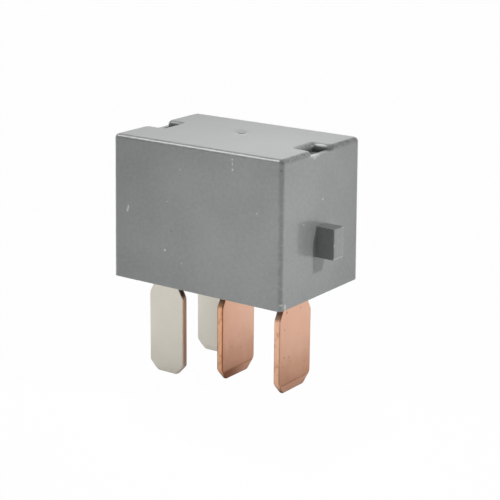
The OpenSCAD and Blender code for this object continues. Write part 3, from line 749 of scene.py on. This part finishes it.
def cured_resin():
    """Dark potting resin with a glossy skin and a few pinholes."""
    f = new_finish("cured_resin")
    cloud = f.noise(0.4, 3)
    pinholes = f.specks(0.8, 0.09, 0.25)
    return f.done(
        Base_Color=f.mix(cloud, RESIN_DEEP, RESIN_PALE), Roughness=0.2 + cloud * 0.16,
        Normal=f.bump(cloud * 0.4 - pinholes, 0.1, 0.7),
    )


def enamelled_wire():
    """Copper wire under a clear amber enamel."""
    f = new_finish("enamelled_wire")
    cloud = f.noise(1.2, 3)
    return f.done(
        Base_Color=f.mix(cloud, WIRE_DEEP, WIRE_PALE), Metallic=0.85, Roughness=0.28 + cloud * 0.1,
        Coat_Weight=0.6,
    )


def moulded_plain(name, first, second, roughness):
    """Plain moulding with a fine grain and a little variation of colour."""
    f = new_finish(name)
    cloud = f.noise(0.5, 3)
    grain = f.noise(8, 3)
    return f.done(
        Base_Color=f.mix(cloud, first, second), Roughness=roughness + cloud * 0.1,
        Normal=f.bump(grain, 0.008, 0.5),
    )


def plain_metal(name, light, dark, roughness, stretch):
    """Plain metal with fine lines and soft stains."""
    f = new_finish(name)
    streaks = f.noise(7, 3, 0.6, stretch)
    stain = f.noise(0.5, 3)
    tone = f.ramp(streaks * 0.5 + stain * 0.5, 0.3, 0.7)
    return f.done(
        Base_Color=f.mix(tone, dark, light), Metallic=1.0, Roughness=roughness + stain * 0.12,
        Normal=f.bump(streaks, 0.006, 0.5),
    )


FINISHES = {
    "cover_grey": moulded_grey(),
    "resin_dark": cured_resin(),
    "enamelled_wire": enamelled_wire(),
    "bare_copper": bare_copper(),
    "tinned_copper": tinned_copper(),
}
FINISHES.update({slot: moulded_plain(slot, *look) for slot, look in MOULDINGS.items()})
FINISHES.update({slot: plain_metal(slot, *look) for slot, look in METALS.items()})

# Finishes of the blades' faces and cut edges
COPPER = [FINISHES["bare_copper"], copper_edge()]
TINNED = [FINISHES["tinned_copper"], tinned_edge()]


# Cover

def open_notch(bm, end, half_l, half_w, top, floor):
    """Cuts a notch, open at one end of a box, into its top edge."""
    inner = end * (half_l - NOTCH_REACH)
    outer = end * half_l
    for place in (-half_w, half_w):
        cut(bm, facing(bm, Z, 1, top) + facing(bm, X, end), Y, place)
    cut(bm, facing(bm, Z, 1, top), X, inner)
    cut(bm, facing(bm, X, end), Z, floor)
    low = Vector((min(inner, outer) - SLACK, -half_w, floor))
    high = Vector((max(inner, outer) + SLACK, half_w, top + SLACK))
    bmesh.ops.delete(bm, geom=within(bm.faces, low, high), context="FACES")

    def at_back(p):
        return abs(p.x - inner) < TINY and p.z > top - TINY and abs(p.y) < half_w + TINY

    edges = edges_where(bm, at_back)
    for step in ((0, 0, floor - top), (outer - inner, 0, 0)):
        edges = draw_edge(bm, edges, Vector(step))
    bmesh.ops.remove_doubles(bm, verts=bm.verts, dist=TINY)
    open_edges = [e for e in boundary(bm) if min(v.co.z for v in e.verts) > floor - TINY]
    bmesh.ops.holes_fill(bm, edges=open_edges, sides=8)


def open_box(half_l, half_w, top):
    """A box from the rim up that is open below."""
    bm = box_mesh(Vector((-half_l, -half_w, 0)), Vector((half_l, half_w, top)))
    bmesh.ops.delete(bm, geom=facing(bm, Z, -1), context="FACES")
    return bm


def lean_in(bm):
    """Joins a box's flat faces and leans its walls inwards with height."""
    join_flat(bm, [e for e in bm.edges if not e.is_boundary], degrees=0.5)
    for v in bm.verts:
        for axis, half in ((X, HALF_L), (Y, HALF_W)):
            if abs(v.co[axis]) > half / 2:
                v.co[axis] -= math.copysign(v.co.z * LEAN, v.co[axis])
    bm.normal_update()


def upright_corners(bm, half_l, half_w):
    """The upright corner edges of a leaning box."""
    def at_corner(p):
        room = p.z * LEAN + LOOSE
        return abs(p.x) > half_l - room and abs(p.y) > half_w - room
    return upright(edges_where(bm, at_corner))


def notch_corners(bm, floor, x_place):
    """The notches' upright edges at a distance from the middle along the box."""
    def at_corner(p):
        at_side = abs(abs(p.y) - NOTCH_HALF) < SLACK
        return at_side and abs(abs(p.x) - x_place) < LOOSE and p.z > floor - POCKET - LOOSE
    return upright(edges_where(bm, at_corner))


def tab_end(bm):
    """Draws the key tab out of the end face."""
    for place in (-TAB_HALF, TAB_HALF):
        cut(bm, facing(bm, X, 1, HALF_L), Y, place)
    for place in (TAB_LOW, TAB_HIGH):
        cut(bm, facing(bm, X, 1, HALF_L), Z, place)
    low = Vector((HALF_L - LOOSE, -TAB_HALF, TAB_LOW))
    high = Vector((HALF_L + LOOSE, TAB_HALF, TAB_HIGH))
    pull(bm, within(facing(bm, X, 1, HALF_L), low, high), Vector((TAB_END - HALF_L, 0, 0)))


def round_cover(bm, floor):
    """Rounds the cover's corners, notches, top edges and tab."""
    round_edges(bm, upright_corners(bm, HALF_L, HALF_W), CORNER_R, segments=6)
    both_ends = facing(bm, X, -1) + facing(bm, X, 1)
    walls = [f for f in both_ends if abs(f.calc_center_median().x) > HALF_L - WALL]
    cut(bm, walls, Z, floor)
    round_edges(bm, notch_corners(bm, floor, TOP_END), MOUTH_R, segments=5)
    round_edges(bm, notch_corners(bm, floor, HALF_L - NOTCH_REACH), NOTCH_CORNER_R, segments=3)
    on_top = edges_where(bm, lambda p: p.z > TOP - TINY)
    round_edges(bm, sharp_edges(on_top), TOP_R, segments=6)

    def at_lip(p):
        across = abs(p.y) < NOTCH_HALF + MOUTH_R + SLACK
        return across and abs(p.z - floor) < SLACK and abs(p.x) > HALF_L / 2

    round_edges(bm, outer_edges(edges_where(bm, at_lip)), LIP_R, segments=4)
    on_tab = edges_where(bm, lambda p: p.x > HALF_L - SLACK and abs(p.y) < TAB_HALF + SLACK)
    round_edges(bm, outer_edges(on_tab), TAB_R, segments=4)


def gate_dimple(bm):
    """Presses a shallow dish, with a low round stub in its middle, into the flat of the top."""
    for axis in (X, Y):
        for step in (-GATE_SQUARE, GATE_SQUARE):
            cut(bm, facing(bm, Z, 1, TOP), axis, GATE[axis] + step)
    low = Vector((GATE.x - GATE_SQUARE, GATE.y - GATE_SQUARE, TOP - LOOSE))
    high = Vector((GATE.x + GATE_SQUARE, GATE.y + GATE_SQUARE, TOP + LOOSE))
    square = within(facing(bm, Z, 1, TOP), low, high)
    bmesh.ops.subdivide_edges(bm, edges=edges_of(square), cuts=GATE_CUTS)
    bmesh.ops.delete(bm, geom=within(facing(bm, Z, 1, TOP), low, high), context="FACES")
    ring = [e for e in boundary(bm) if e.verts[0].co.z > TOP / 2]
    for radius, depth in GATE_RINGS:
        ring = draw_edge(bm, ring, Vector((0, 0, 0)))
        for v in verts_of(ring):
            away = (v.co.xy - GATE).normalized() * radius
            v.co = Vector((GATE.x + away.x, GATE.y + away.y, TOP + depth))
    bmesh.ops.holes_fill(bm, edges=ring)


def cover_outside():
    """The cover's outer skin, open at the rim."""
    floor = TOP - NOTCH_DEPTH
    bm = open_box(HALF_L, HALF_W, TOP)
    for end in (-1, 1):
        open_notch(bm, end, HALF_L, NOTCH_HALF, TOP, floor)
        cut(bm, facing(bm, Z, 1, floor), X, end * LIP_X)
    pockets = [f for f in facing(bm, Z, 1, floor) if abs(f.calc_center_median().x) < LIP_X]
    pull(bm, pockets, Vector((0, 0, -POCKET)))
    tab_end(bm)
    lean_in(bm)
    round_cover(bm, floor)
    gate_dimple(bm)
    return bm


def cover_inside():
    """The cover's inner skin, open at the rim."""
    half_l = HALF_L - WALL
    half_w = HALF_W - WALL
    ceiling = TOP - ROOF
    floor = TOP - NOTCH_DEPTH - POCKET - NOTCH_FLOOR
    bm = open_box(half_l, half_w, ceiling)
    for end in (-1, 1):
        open_notch(bm, end, half_l, NOTCH_HALF + WALL, ceiling, floor)
    lean_in(bm)
    round_edges(bm, upright_corners(bm, half_l, half_w), WALL / 3, segments=4)
    bmesh.ops.reverse_faces(bm, faces=bm.faces)
    return bm


def make_cover():
    """The cover, with its two skins joined at the rim."""
    bm = cover_outside()
    inner = cover_inside()
    inside = bpy.data.meshes.new("inside")
    inner.to_mesh(inside)
    inner.free()
    bm.from_mesh(inside)
    bpy.data.meshes.remove(inside)
    rim = bmesh.ops.bridge_loops(bm, edges=boundary(bm))["faces"]
    round_edges(bm, sharp_edges(edges_of(rim)), RIM_R, segments=2)
    bmesh.ops.recalc_face_normals(bm, faces=bm.faces)
    finish_mesh(bm, "cover_shell", [FINISHES["cover_grey"]], "housing", "cover")


make_cover()


# Blades

def stamped_sheet(points, corner_radii):
    """A flat outline of (y, z) points in the plane x = 0, with some of its corners rounded."""
    bm = bmesh.new()
    corners = [bm.verts.new((0, y, z)) for y, z in points]
    bm.faces.new(corners)
    rounded = [(v, corner_radii[p]) for v, p in zip(corners, points) if p in corner_radii]
    for v, radius in rounded:
        bmesh.ops.bevel(
            bm, geom=[v], offset=radius, offset_type="OFFSET", segments=4, profile=0.5,
            affect="VERTICES", material=-1,
        )
    return bm


def blade_outline(half, shoulder, top, tip, cut_h, tip_r):
    """A blade's outline, down one side from the neck's end and up the other, and its corners' radii."""
    neck = half - NECK_IN
    side = [
        (neck, top),
        (neck, shoulder + SHOULDER_H),
        (half, shoulder),
        (half, tip + cut_h),
        (half - TIP_CUT_W, tip),
    ]
    other_side = [(-y, z) for y, z in reversed(side)]
    radii = dict(zip(side[1:], (SHOULDER_R, SHOULDER_R, tip_r, tip_r)))
    radii.update({(-y, z): r for (y, z), r in radii.items()})
    return side + other_side, radii


def stamp(bm, tip, coin, arris_r):
    """Thickens a blade, coins its tip thinner, rounds its arrises and marks its cut edges."""
    thicken(bm, SHEET)
    middle = -SHEET / 2
    coin_h, coin_share = coin
    coin_top = tip + coin_h
    for step in (COIN_BLEND, 0, -COIN_BLEND):
        cut(bm, bm.faces[:], Z, coin_top + step)
    for v in bm.verts:
        below = coin_top - v.co.z
        if abs(below) < COIN_BLEND:
            below = (below + COIN_BLEND) ** 2 / (4 * COIN_BLEND)
        thinned = (1 - coin_share) * max(0, below) / coin_h
        v.co.x = middle + (v.co.x - middle) * (1 - thinned)
    bm.normal_update()
    round_edges(bm, outer_edges(bm.edges), arris_r, segments=3)
    for f in bm.faces:
        turned = f.calc_center_median().z < 0 and abs(f.normal.x) < CUT_X
        f.material_index = int(abs(f.normal.y) > CUT_Y or turned)


def copper_sheet(across_neck):
    """The flat shape of a copper blade, with the points that close it across the neck."""
    points, radii = blade_outline(
        LOAD_HALF, LOAD_SHOULDER, BASE_TOP, LOAD_TIP, LOAD_CUT_H, COPPER_TIP_R,
    )
    return stamped_sheet(points + across_neck, radii)


def finish_copper(bm, name, sheet_x):
    """Stamps a copper blade and sets it at its place along the part."""
    stamp(bm, LOAD_TIP, COPPER_COIN, COPPER_ARRIS)
    bmesh.ops.translate(bm, vec=(sheet_x + SHEET / 2, 0, 0), verts=bm.verts)
    finish_mesh(bm, "blade_" + name, COPPER, "housing", "terminal_" + name)


def make_load_blade():
    """Copper blade that rises through the base and bends over into the arm of the fixed contact."""
    bm = copper_sheet([])
    bend_z = LOAD_HIGH.z - STRAP_BEND_R
    edge = edges_where(bm, lambda p: p.z > BASE_TOP - TINY)
    edge = draw_edge(bm, edge, Vector((0, 0, bend_z - BASE_TOP)))
    bend_middle = Vector((-STRAP_BEND_R, 0, bend_z))
    edge = bend_edge(bm, edge, bend_middle, -math.pi / 2, STRAP_BEND_STEPS)
    draw_edge(bm, edge, Vector((LOAD_LOW.x - LOAD_HIGH.x + STRAP_BEND_R, 0, 0)))
    finish_copper(bm, "load", LOAD_X)


def make_common_blade():
    """Copper blade with a tang that is staked in the yoke."""
    bm = copper_sheet([
        (-TANG_HALF, BASE_TOP), (-TANG_HALF, FOOT_TOP), (TANG_HALF, FOOT_TOP), (TANG_HALF, BASE_TOP),
    ])
    finish_copper(bm, "common", COMMON_X)


def make_coil_blade(name, side):
    """Tinned blade with a slim post for the wire's end, on one side of the part."""
    points, radii = blade_outline(
        COIL_HALF, COIL_SHOULDER, COLLAR_TOP, COIL_TIP, COIL_CUT_H, TINNED_TIP_R,
    )
    post_out = POST_IN + POST_W
    post = [(POST_IN, COLLAR_TOP), (POST_IN, POST_TOP), (post_out, POST_TOP), (post_out, COLLAR_TOP)]
    bm = stamped_sheet(points + post, radii)
    stamp(bm, COIL_TIP, TINNED_COIN, TINNED_ARRIS)
    bmesh.ops.translate(bm, vec=(SHEET / 2, 0, 0), verts=bm.verts)
    quarter_turn = Matrix.Rotation(math.pi / 2, 3, "Z")
    bmesh.ops.rotate(bm, cent=(0, 0, 0), matrix=quarter_turn, verts=bm.verts)
    bmesh.ops.translate(bm, vec=(COIL_X, side * COIL_Y, 0), verts=bm.verts)
    finish_mesh(bm, "blade_" + name, TINNED, "housing", "terminal_" + name)


make_load_blade()
make_common_blade()
make_coil_blade("coil_front", -1)
make_coil_blade("coil_rear", 1)


# Inside

def make_resin():
    """Resin poured round the blades, drawn up the cover's walls and the blades' necks."""
    half_l = HALF_L - WALL - RESIN_Z * LEAN
    half_w = HALF_W - WALL - RESIN_Z * LEAN
    load_neck = LOAD_HALF - NECK_IN
    coil_neck = COIL_HALF - NECK_IN
    necks = [
        (LOAD_X, 0, SHEET / 2, load_neck), (COMMON_X, 0, SHEET / 2, load_neck),
        (COIL_X, -COIL_Y, coil_neck, SHEET / 2), (COIL_X, COIL_Y, coil_neck, SHEET / 2),
    ]
    bm = bmesh.new()
    bmesh.ops.create_grid(bm, x_segments=RESIN_GRID[0], y_segments=RESIN_GRID[1], size=1)
    bmesh.ops.scale(bm, vec=(half_l, half_w, 1), verts=bm.verts)
    for v in bm.verts:
        near = min(half_l - abs(v.co.x), half_w - abs(v.co.y))
        for x, y, reach_x, reach_y in necks:
            off_x = max(abs(v.co.x - x) - reach_x, 0)
            off_y = max(abs(v.co.y - y) - reach_y, 0)
            near = min(near, math.hypot(off_x, off_y))
        v.co.z = RESIN_Z - RESIN_CREEP * math.exp(-near / RESIN_SPREAD)
    rim = draw_edge(bm, boundary(bm), Vector((0, 0, 0)))
    for v in verts_of(rim):
        v.co.z = BASE_Z
    bmesh.ops.holes_fill(bm, edges=rim)
    bmesh.ops.recalc_face_normals(bm, faces=bm.faces)
    finish_mesh(bm, "resin_pool", [FINISHES["resin_dark"]], "housing", "sealing_resin")


def make_winding():
    """Outer layer of turns round the bobbin, as a ring with one ridge for each turn."""
    low, high = low_high("coil_winding")
    middle = Vector(((low.x + high.x) / 2, 0, 0))
    turns = int((high.z - low.z) / WIRE_D)
    half = (high.z - low.z) / turns / 2
    ridge_r = (high.x - low.x) / 2 - half
    points = [(HUB_R, low.z), (ridge_r, low.z)]
    for turn in range(turns):
        for step in range(1, TURN_STEPS + 1):
            angle = math.pi * (step / TURN_STEPS - 0.5)
            height = low.z + half * (2 * turn + 1 + math.sin(angle))
            points.append((ridge_r + half * math.cos(angle), height))
    points.append((HUB_R, high.z))
    bm = bmesh.new()
    verts = [bm.verts.new(middle + Vector((r, 0, z))) for r, z in points]
    edges = [bm.edges.new((verts[i - 1], verts[i])) for i in range(len(verts))]
    bmesh.ops.spin(
        bm, geom=verts + edges, cent=middle, axis=(0, 0, 1), angle=math.tau, steps=WINDING_STEPS,
        use_merge=True,
    )
    bmesh.ops.remove_doubles(bm, verts=bm.verts, dist=SNAP)
    bmesh.ops.recalc_face_normals(bm, faces=bm.faces)
    wire = [FINISHES["enamelled_wire"]]
    finish_mesh(bm, "winding_turns", wire, "housing", "coil_winding", sharp=70)


def make_leaf():
    """Leaf spring: a leg riveted to the yoke, a bend with a window and an arm with the contact."""
    low, high = low_high("contact_leaf")
    tilt = math.radians(frame["record"]["behaviour"]["joints"][0]["range_deg"][1])
    along = Vector((math.cos(tilt), 0, math.sin(tilt)))
    bend_x = low.x + LEAF_BEND_R
    bend_rise = LEAF_RISE - LEAF_BEND_R + math.sin(tilt) * (bend_x - HINGE.x)
    bend_z = HINGE.z + bend_rise / math.cos(tilt)
    window_low = HINGE.z - WINDOW_DROP
    window_end = low.x + LEAF_T + WINDOW_L
    bm = bmesh.new()
    row = [bm.verts.new((low.x, y, low.z)) for y in (high.y, WINDOW_HALF, -WINDOW_HALF, -high.y)]
    edge = [bm.edges.new(pair) for pair in zip(row, row[1:])]
    for rise in (window_low - low.z, bend_z - window_low):
        edge = draw_edge(bm, edge, Vector((0, 0, rise)))
    bend_middle = Vector((bend_x, 0, bend_z))
    edge = bend_edge(bm, edge, bend_middle, math.pi / 2 - tilt, LEAF_BEND_STEPS)
    here = bend_x - LEAF_BEND_R * math.sin(tilt)
    for x in (window_end, TAPER_X - TAPER_L, TAPER_X, high.x - LEAF_T * math.sin(tilt)):
        edge = draw_edge(bm, edge, along * ((x - here) / math.cos(tilt)))
        here = x
    window_corner = Vector((low.x - LOOSE, -WINDOW_HALF, window_low))
    far_corner = Vector((window_end, WINDOW_HALF, high.z + LOOSE))
    bmesh.ops.delete(bm, geom=within(bm.faces, window_corner, far_corner), context="FACES")
    for v in bm.verts:
        if v.co.x > TAPER_X - SLACK and abs(v.co.y) > WINDOW_HALF + LOOSE:
            v.co.y = math.copysign(LEAF_TIP_HALF, v.co.y)
    thicken(bm, LEAF_T)
    round_edges(bm, outer_edges(bm.edges), LEAF_T / 6, segments=2)
    leaf = finish_mesh(bm, "leaf_spring", [FINISHES["leaf_alloy"]], None, "contact_leaf")
    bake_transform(leaf)


def make_softened(node, radius):
    """A CAD node's own shape with its sharp edges rounded."""
    source = frame["nodes"][node]
    slot = next(p["material_slot"] for p in frame["record"]["subparts"] if p["node"] == node)
    bodies = frame["record"]["behaviour"]["bodies"]
    body = next(b for b, nodes in bodies.items() if node in nodes)
    bm = bmesh.new()
    bm.from_mesh(source.data)
    bm.transform(source.matrix_world)
    bmesh.ops.scale(bm, vec=Vector((1 / MM, 1 / MM, 1 / MM)), verts=bm.verts)
    bmesh.ops.remove_doubles(bm, verts=bm.verts, dist=TINY)
    join_flat(bm, bm.edges, degrees=1)
    round_edges(bm, outer_edges(bm.edges), radius, segments=2)
    finish_mesh(bm, node + "_soft", [FINISHES[slot]], body, node)


make_resin()
make_winding()
make_leaf()
for softened, edge_radius in SOFT_EDGES.items():
    make_softened(softened, edge_radius)


# Floor, light and camera

# Levels of the room that gloss mirrors
GLOSS_BACK = 1.4
GLOSS_FRONT = 0.5
GLOSS_SKY = 0.1

# Levels of the lights, where 1 shows a facing surface in its own colour
AMBIENT = 0.27
EDGE_LEVEL = 0.8
FRONT_LEVEL = 0.86
TOP_LEVEL = 0.71
RIGHT_LEVEL = 0.6
CARD_LEVEL = 0.37
BACK_LEVEL = 0.38

# Floor: half side in metres, its greys, its share of white to the camera and in gloss, near and far, where the
# lower share near the part is painted shade in reflections, and where it fades
FLOOR_HALF = 2
FLOOR_DIM = 0.35
FLOOR_PALE = 0.8
FLOOR_WHITE = 0.985
FLOOR_NEAR = 0.4
FLOOR_FAR = 1.0
FLOOR_FADE = (12, 42)

# Where the lamps look, in millimetres, and how far off they are, in metres
MIDDLE = Vector((0, 0, 6))
NEAR_CORNER = Vector((11, -8, 10))
LAMP_DISTANCE = 0.5

# How many times the power of a square light a spot takes for the same level
SPOT_POWER = 4

# The camera's place and lens, fitted to the photograph
CAMERA_AZIMUTH = math.radians(35.0958)
CAMERA_RISE = math.radians(15.938)
CAMERA_ROLL = math.radians(0.5443)
CAMERA_PLACE = Vector((99.47, -138.73, 51.94))
CAMERA_LENS = 112.57
SENSOR_W = 36
CLIP_NEAR = 0.01


def camera_and_glossy(f):
    """Two values: 1 for what the camera sees directly, and 1 for what a gloss mirrors."""
    camera = f.node("LightPath", {}, {}, "Is Camera Ray")
    return camera, Value(f, camera.socket.node.outputs["Is Glossy Ray"])


def make_floor():
    """A pale floor at the blades' tips, white to the camera but for the shadow, with painted shade near the part
    in reflections, and open from below.
    """
    bm = bmesh.new()
    bmesh.ops.create_grid(bm, x_segments=1, y_segments=1, size=FLOOR_HALF)
    bmesh.ops.translate(bm, vec=(0, 0, LOAD_TIP * MM), verts=bm.verts)
    mesh = bpy.data.meshes.new("floor")
    bm.to_mesh(mesh)
    bm.free()
    floor = add_object("floor", mesh)
    floor.visible_shadow = False
    f = new_finish("floor")
    camera, glossy = camera_and_glossy(f)
    below = f.node("NewGeometry", {}, {}, "Backfacing")
    shade = f.mix(f.either(camera, glossy), grey(FLOOR_DIM), grey(FLOOR_PALE))
    f.done(Base_Color=shade, Roughness=0.9, Specular_IOR_Level=0)
    white = f.node("Emission", {}, {"Color": grey(1), "Strength": 1.0})
    clear = f.node("BsdfTransparent", {}, {})
    reach = f.node("VectorMath", {"operation": "LENGTH"}, {0: f.place}, "Value")
    # Painted shade: the floor mirrors darker near the part
    mirrored = FLOOR_NEAR + f.ramp(reach, *FLOOR_FADE) * (FLOOR_FAR - FLOOR_NEAR)
    share = f.either(camera * FLOOR_WHITE, glossy * mirrored)
    lit = f.node("MixShader", {}, {0: share, 1: Value(f, f.shader.outputs[0]), 2: white})
    shown = f.node("MixShader", {}, {0: below, 1: lit, 2: clear})
    f.feed(f.tree.nodes["Material Output"].inputs["Surface"], shown)
    mesh.materials.append(f.owner)


def make_world():
    """White to the camera, bright low behind and dim elsewhere in gloss, a dim even light otherwise."""
    world = bpy.data.worlds.new("studio")
    bpy.context.scene.world = world
    f = Finish(world, "Background")
    camera, glossy = camera_and_glossy(f)
    across, along, rise = (f.axis(name) * MM for name in "XYZ")
    low = GLOSS_FRONT + f.ramp(along, -0.3, 0.3) * (GLOSS_BACK - GLOSS_FRONT)
    high = f.ramp(rise + across * 0.5, 0.25, 0.5)
    mirrored = low * (1 - high) + high * GLOSS_SKY
    f.done(Color=camera + (1 - camera) * (glossy * mirrored + (1 - glossy) * AMBIENT))


def lamp(name, kind, aim, towards, power):
    """A lamp that looks at a place from a direction, with a power for its distance."""
    data = bpy.data.lights.new(name, kind)
    data.energy = math.pi ** 2 * LAMP_DISTANCE ** 2 * power
    piece = add_object(name, data)
    direction = Vector(towards).normalized()
    piece.rotation_mode = "QUATERNION"
    piece.rotation_quaternion = direction.to_track_quat("Z", "Y")
    piece.location = aim * MM + direction * LAMP_DISTANCE
    piece.visible_camera = False
    return piece


def softbox(name, towards, size, level, mirrored):
    """A square soft light that is seen either in reflections alone or not at all."""
    piece = lamp(name, "AREA", MIDDLE, towards, level)
    piece.data.size = size
    piece.visible_glossy = mirrored
    piece.visible_diffuse = not mirrored


def soft_spot(name, towards, radius, cone, level):
    """A round soft light on the near corner that fades across the part."""
    piece = lamp(name, "SPOT", NEAR_CORNER, towards, SPOT_POWER * level)
    piece.data.shadow_soft_size = radius
    piece.data.spot_size = math.radians(cone)
    piece.data.spot_blend = 1
    piece.visible_glossy = False


def make_lights():
    """Soft spots from four sides, a card on the right and a softbox that shows in the gloss."""
    soft_spot("top_spot", (-0.35, 0.35, 0.87), 0.02, 8, TOP_LEVEL)
    soft_spot("front_low_spot", (-0.6, -0.75, -0.3), 0.02, 7.5, FRONT_LEVEL)
    soft_spot("right_spot", (0.757, 0.246, 0.606), 0.014, 5.4, RIGHT_LEVEL)
    soft_spot("back_low_spot", (0.498, 0.831, -0.248), 0.018, 9, BACK_LEVEL)
    softbox("right_card", (0.95, 0.1, -0.25), 0.6, CARD_LEVEL, mirrored=False)
    softbox("edge_softbox", (-0.55, -0.3, 0.78), 0.16, EDGE_LEVEL, mirrored=True)


def make_camera():
    """The camera, turned by its azimuth, its height and its roll."""
    back = Vector((
        math.sin(CAMERA_AZIMUTH) * math.cos(CAMERA_RISE),
        -math.cos(CAMERA_AZIMUTH) * math.cos(CAMERA_RISE),
        math.sin(CAMERA_RISE),
    ))
    right = Vector((math.cos(CAMERA_AZIMUTH), math.sin(CAMERA_AZIMUTH), 0))
    up = back.cross(right)
    turned_right = right * math.cos(CAMERA_ROLL) + up * math.sin(CAMERA_ROLL)
    turned_up = up * math.cos(CAMERA_ROLL) - right * math.sin(CAMERA_ROLL)
    data = bpy.data.cameras.new("camera")
    data.lens = CAMERA_LENS
    data.sensor_width = SENSOR_W
    data.clip_start = CLIP_NEAR
    camera = add_object("camera", data)
    axes = Matrix((turned_right, turned_up, back)).transposed().to_4x4()
    camera.matrix_world = Matrix.Translation(CAMERA_PLACE * MM) @ axes
    bpy.context.scene.camera = camera


make_floor()
make_world()
make_lights()
make_camera()
bpy.context.scene.view_settings.view_transform = "Standard"

for subpart in frame["record"]["subparts"]:
    node = frame["nodes"][subpart["node"]]
    node.data.materials.clear()
    node.data.materials.append(FINISHES[subpart["material_slot"]])
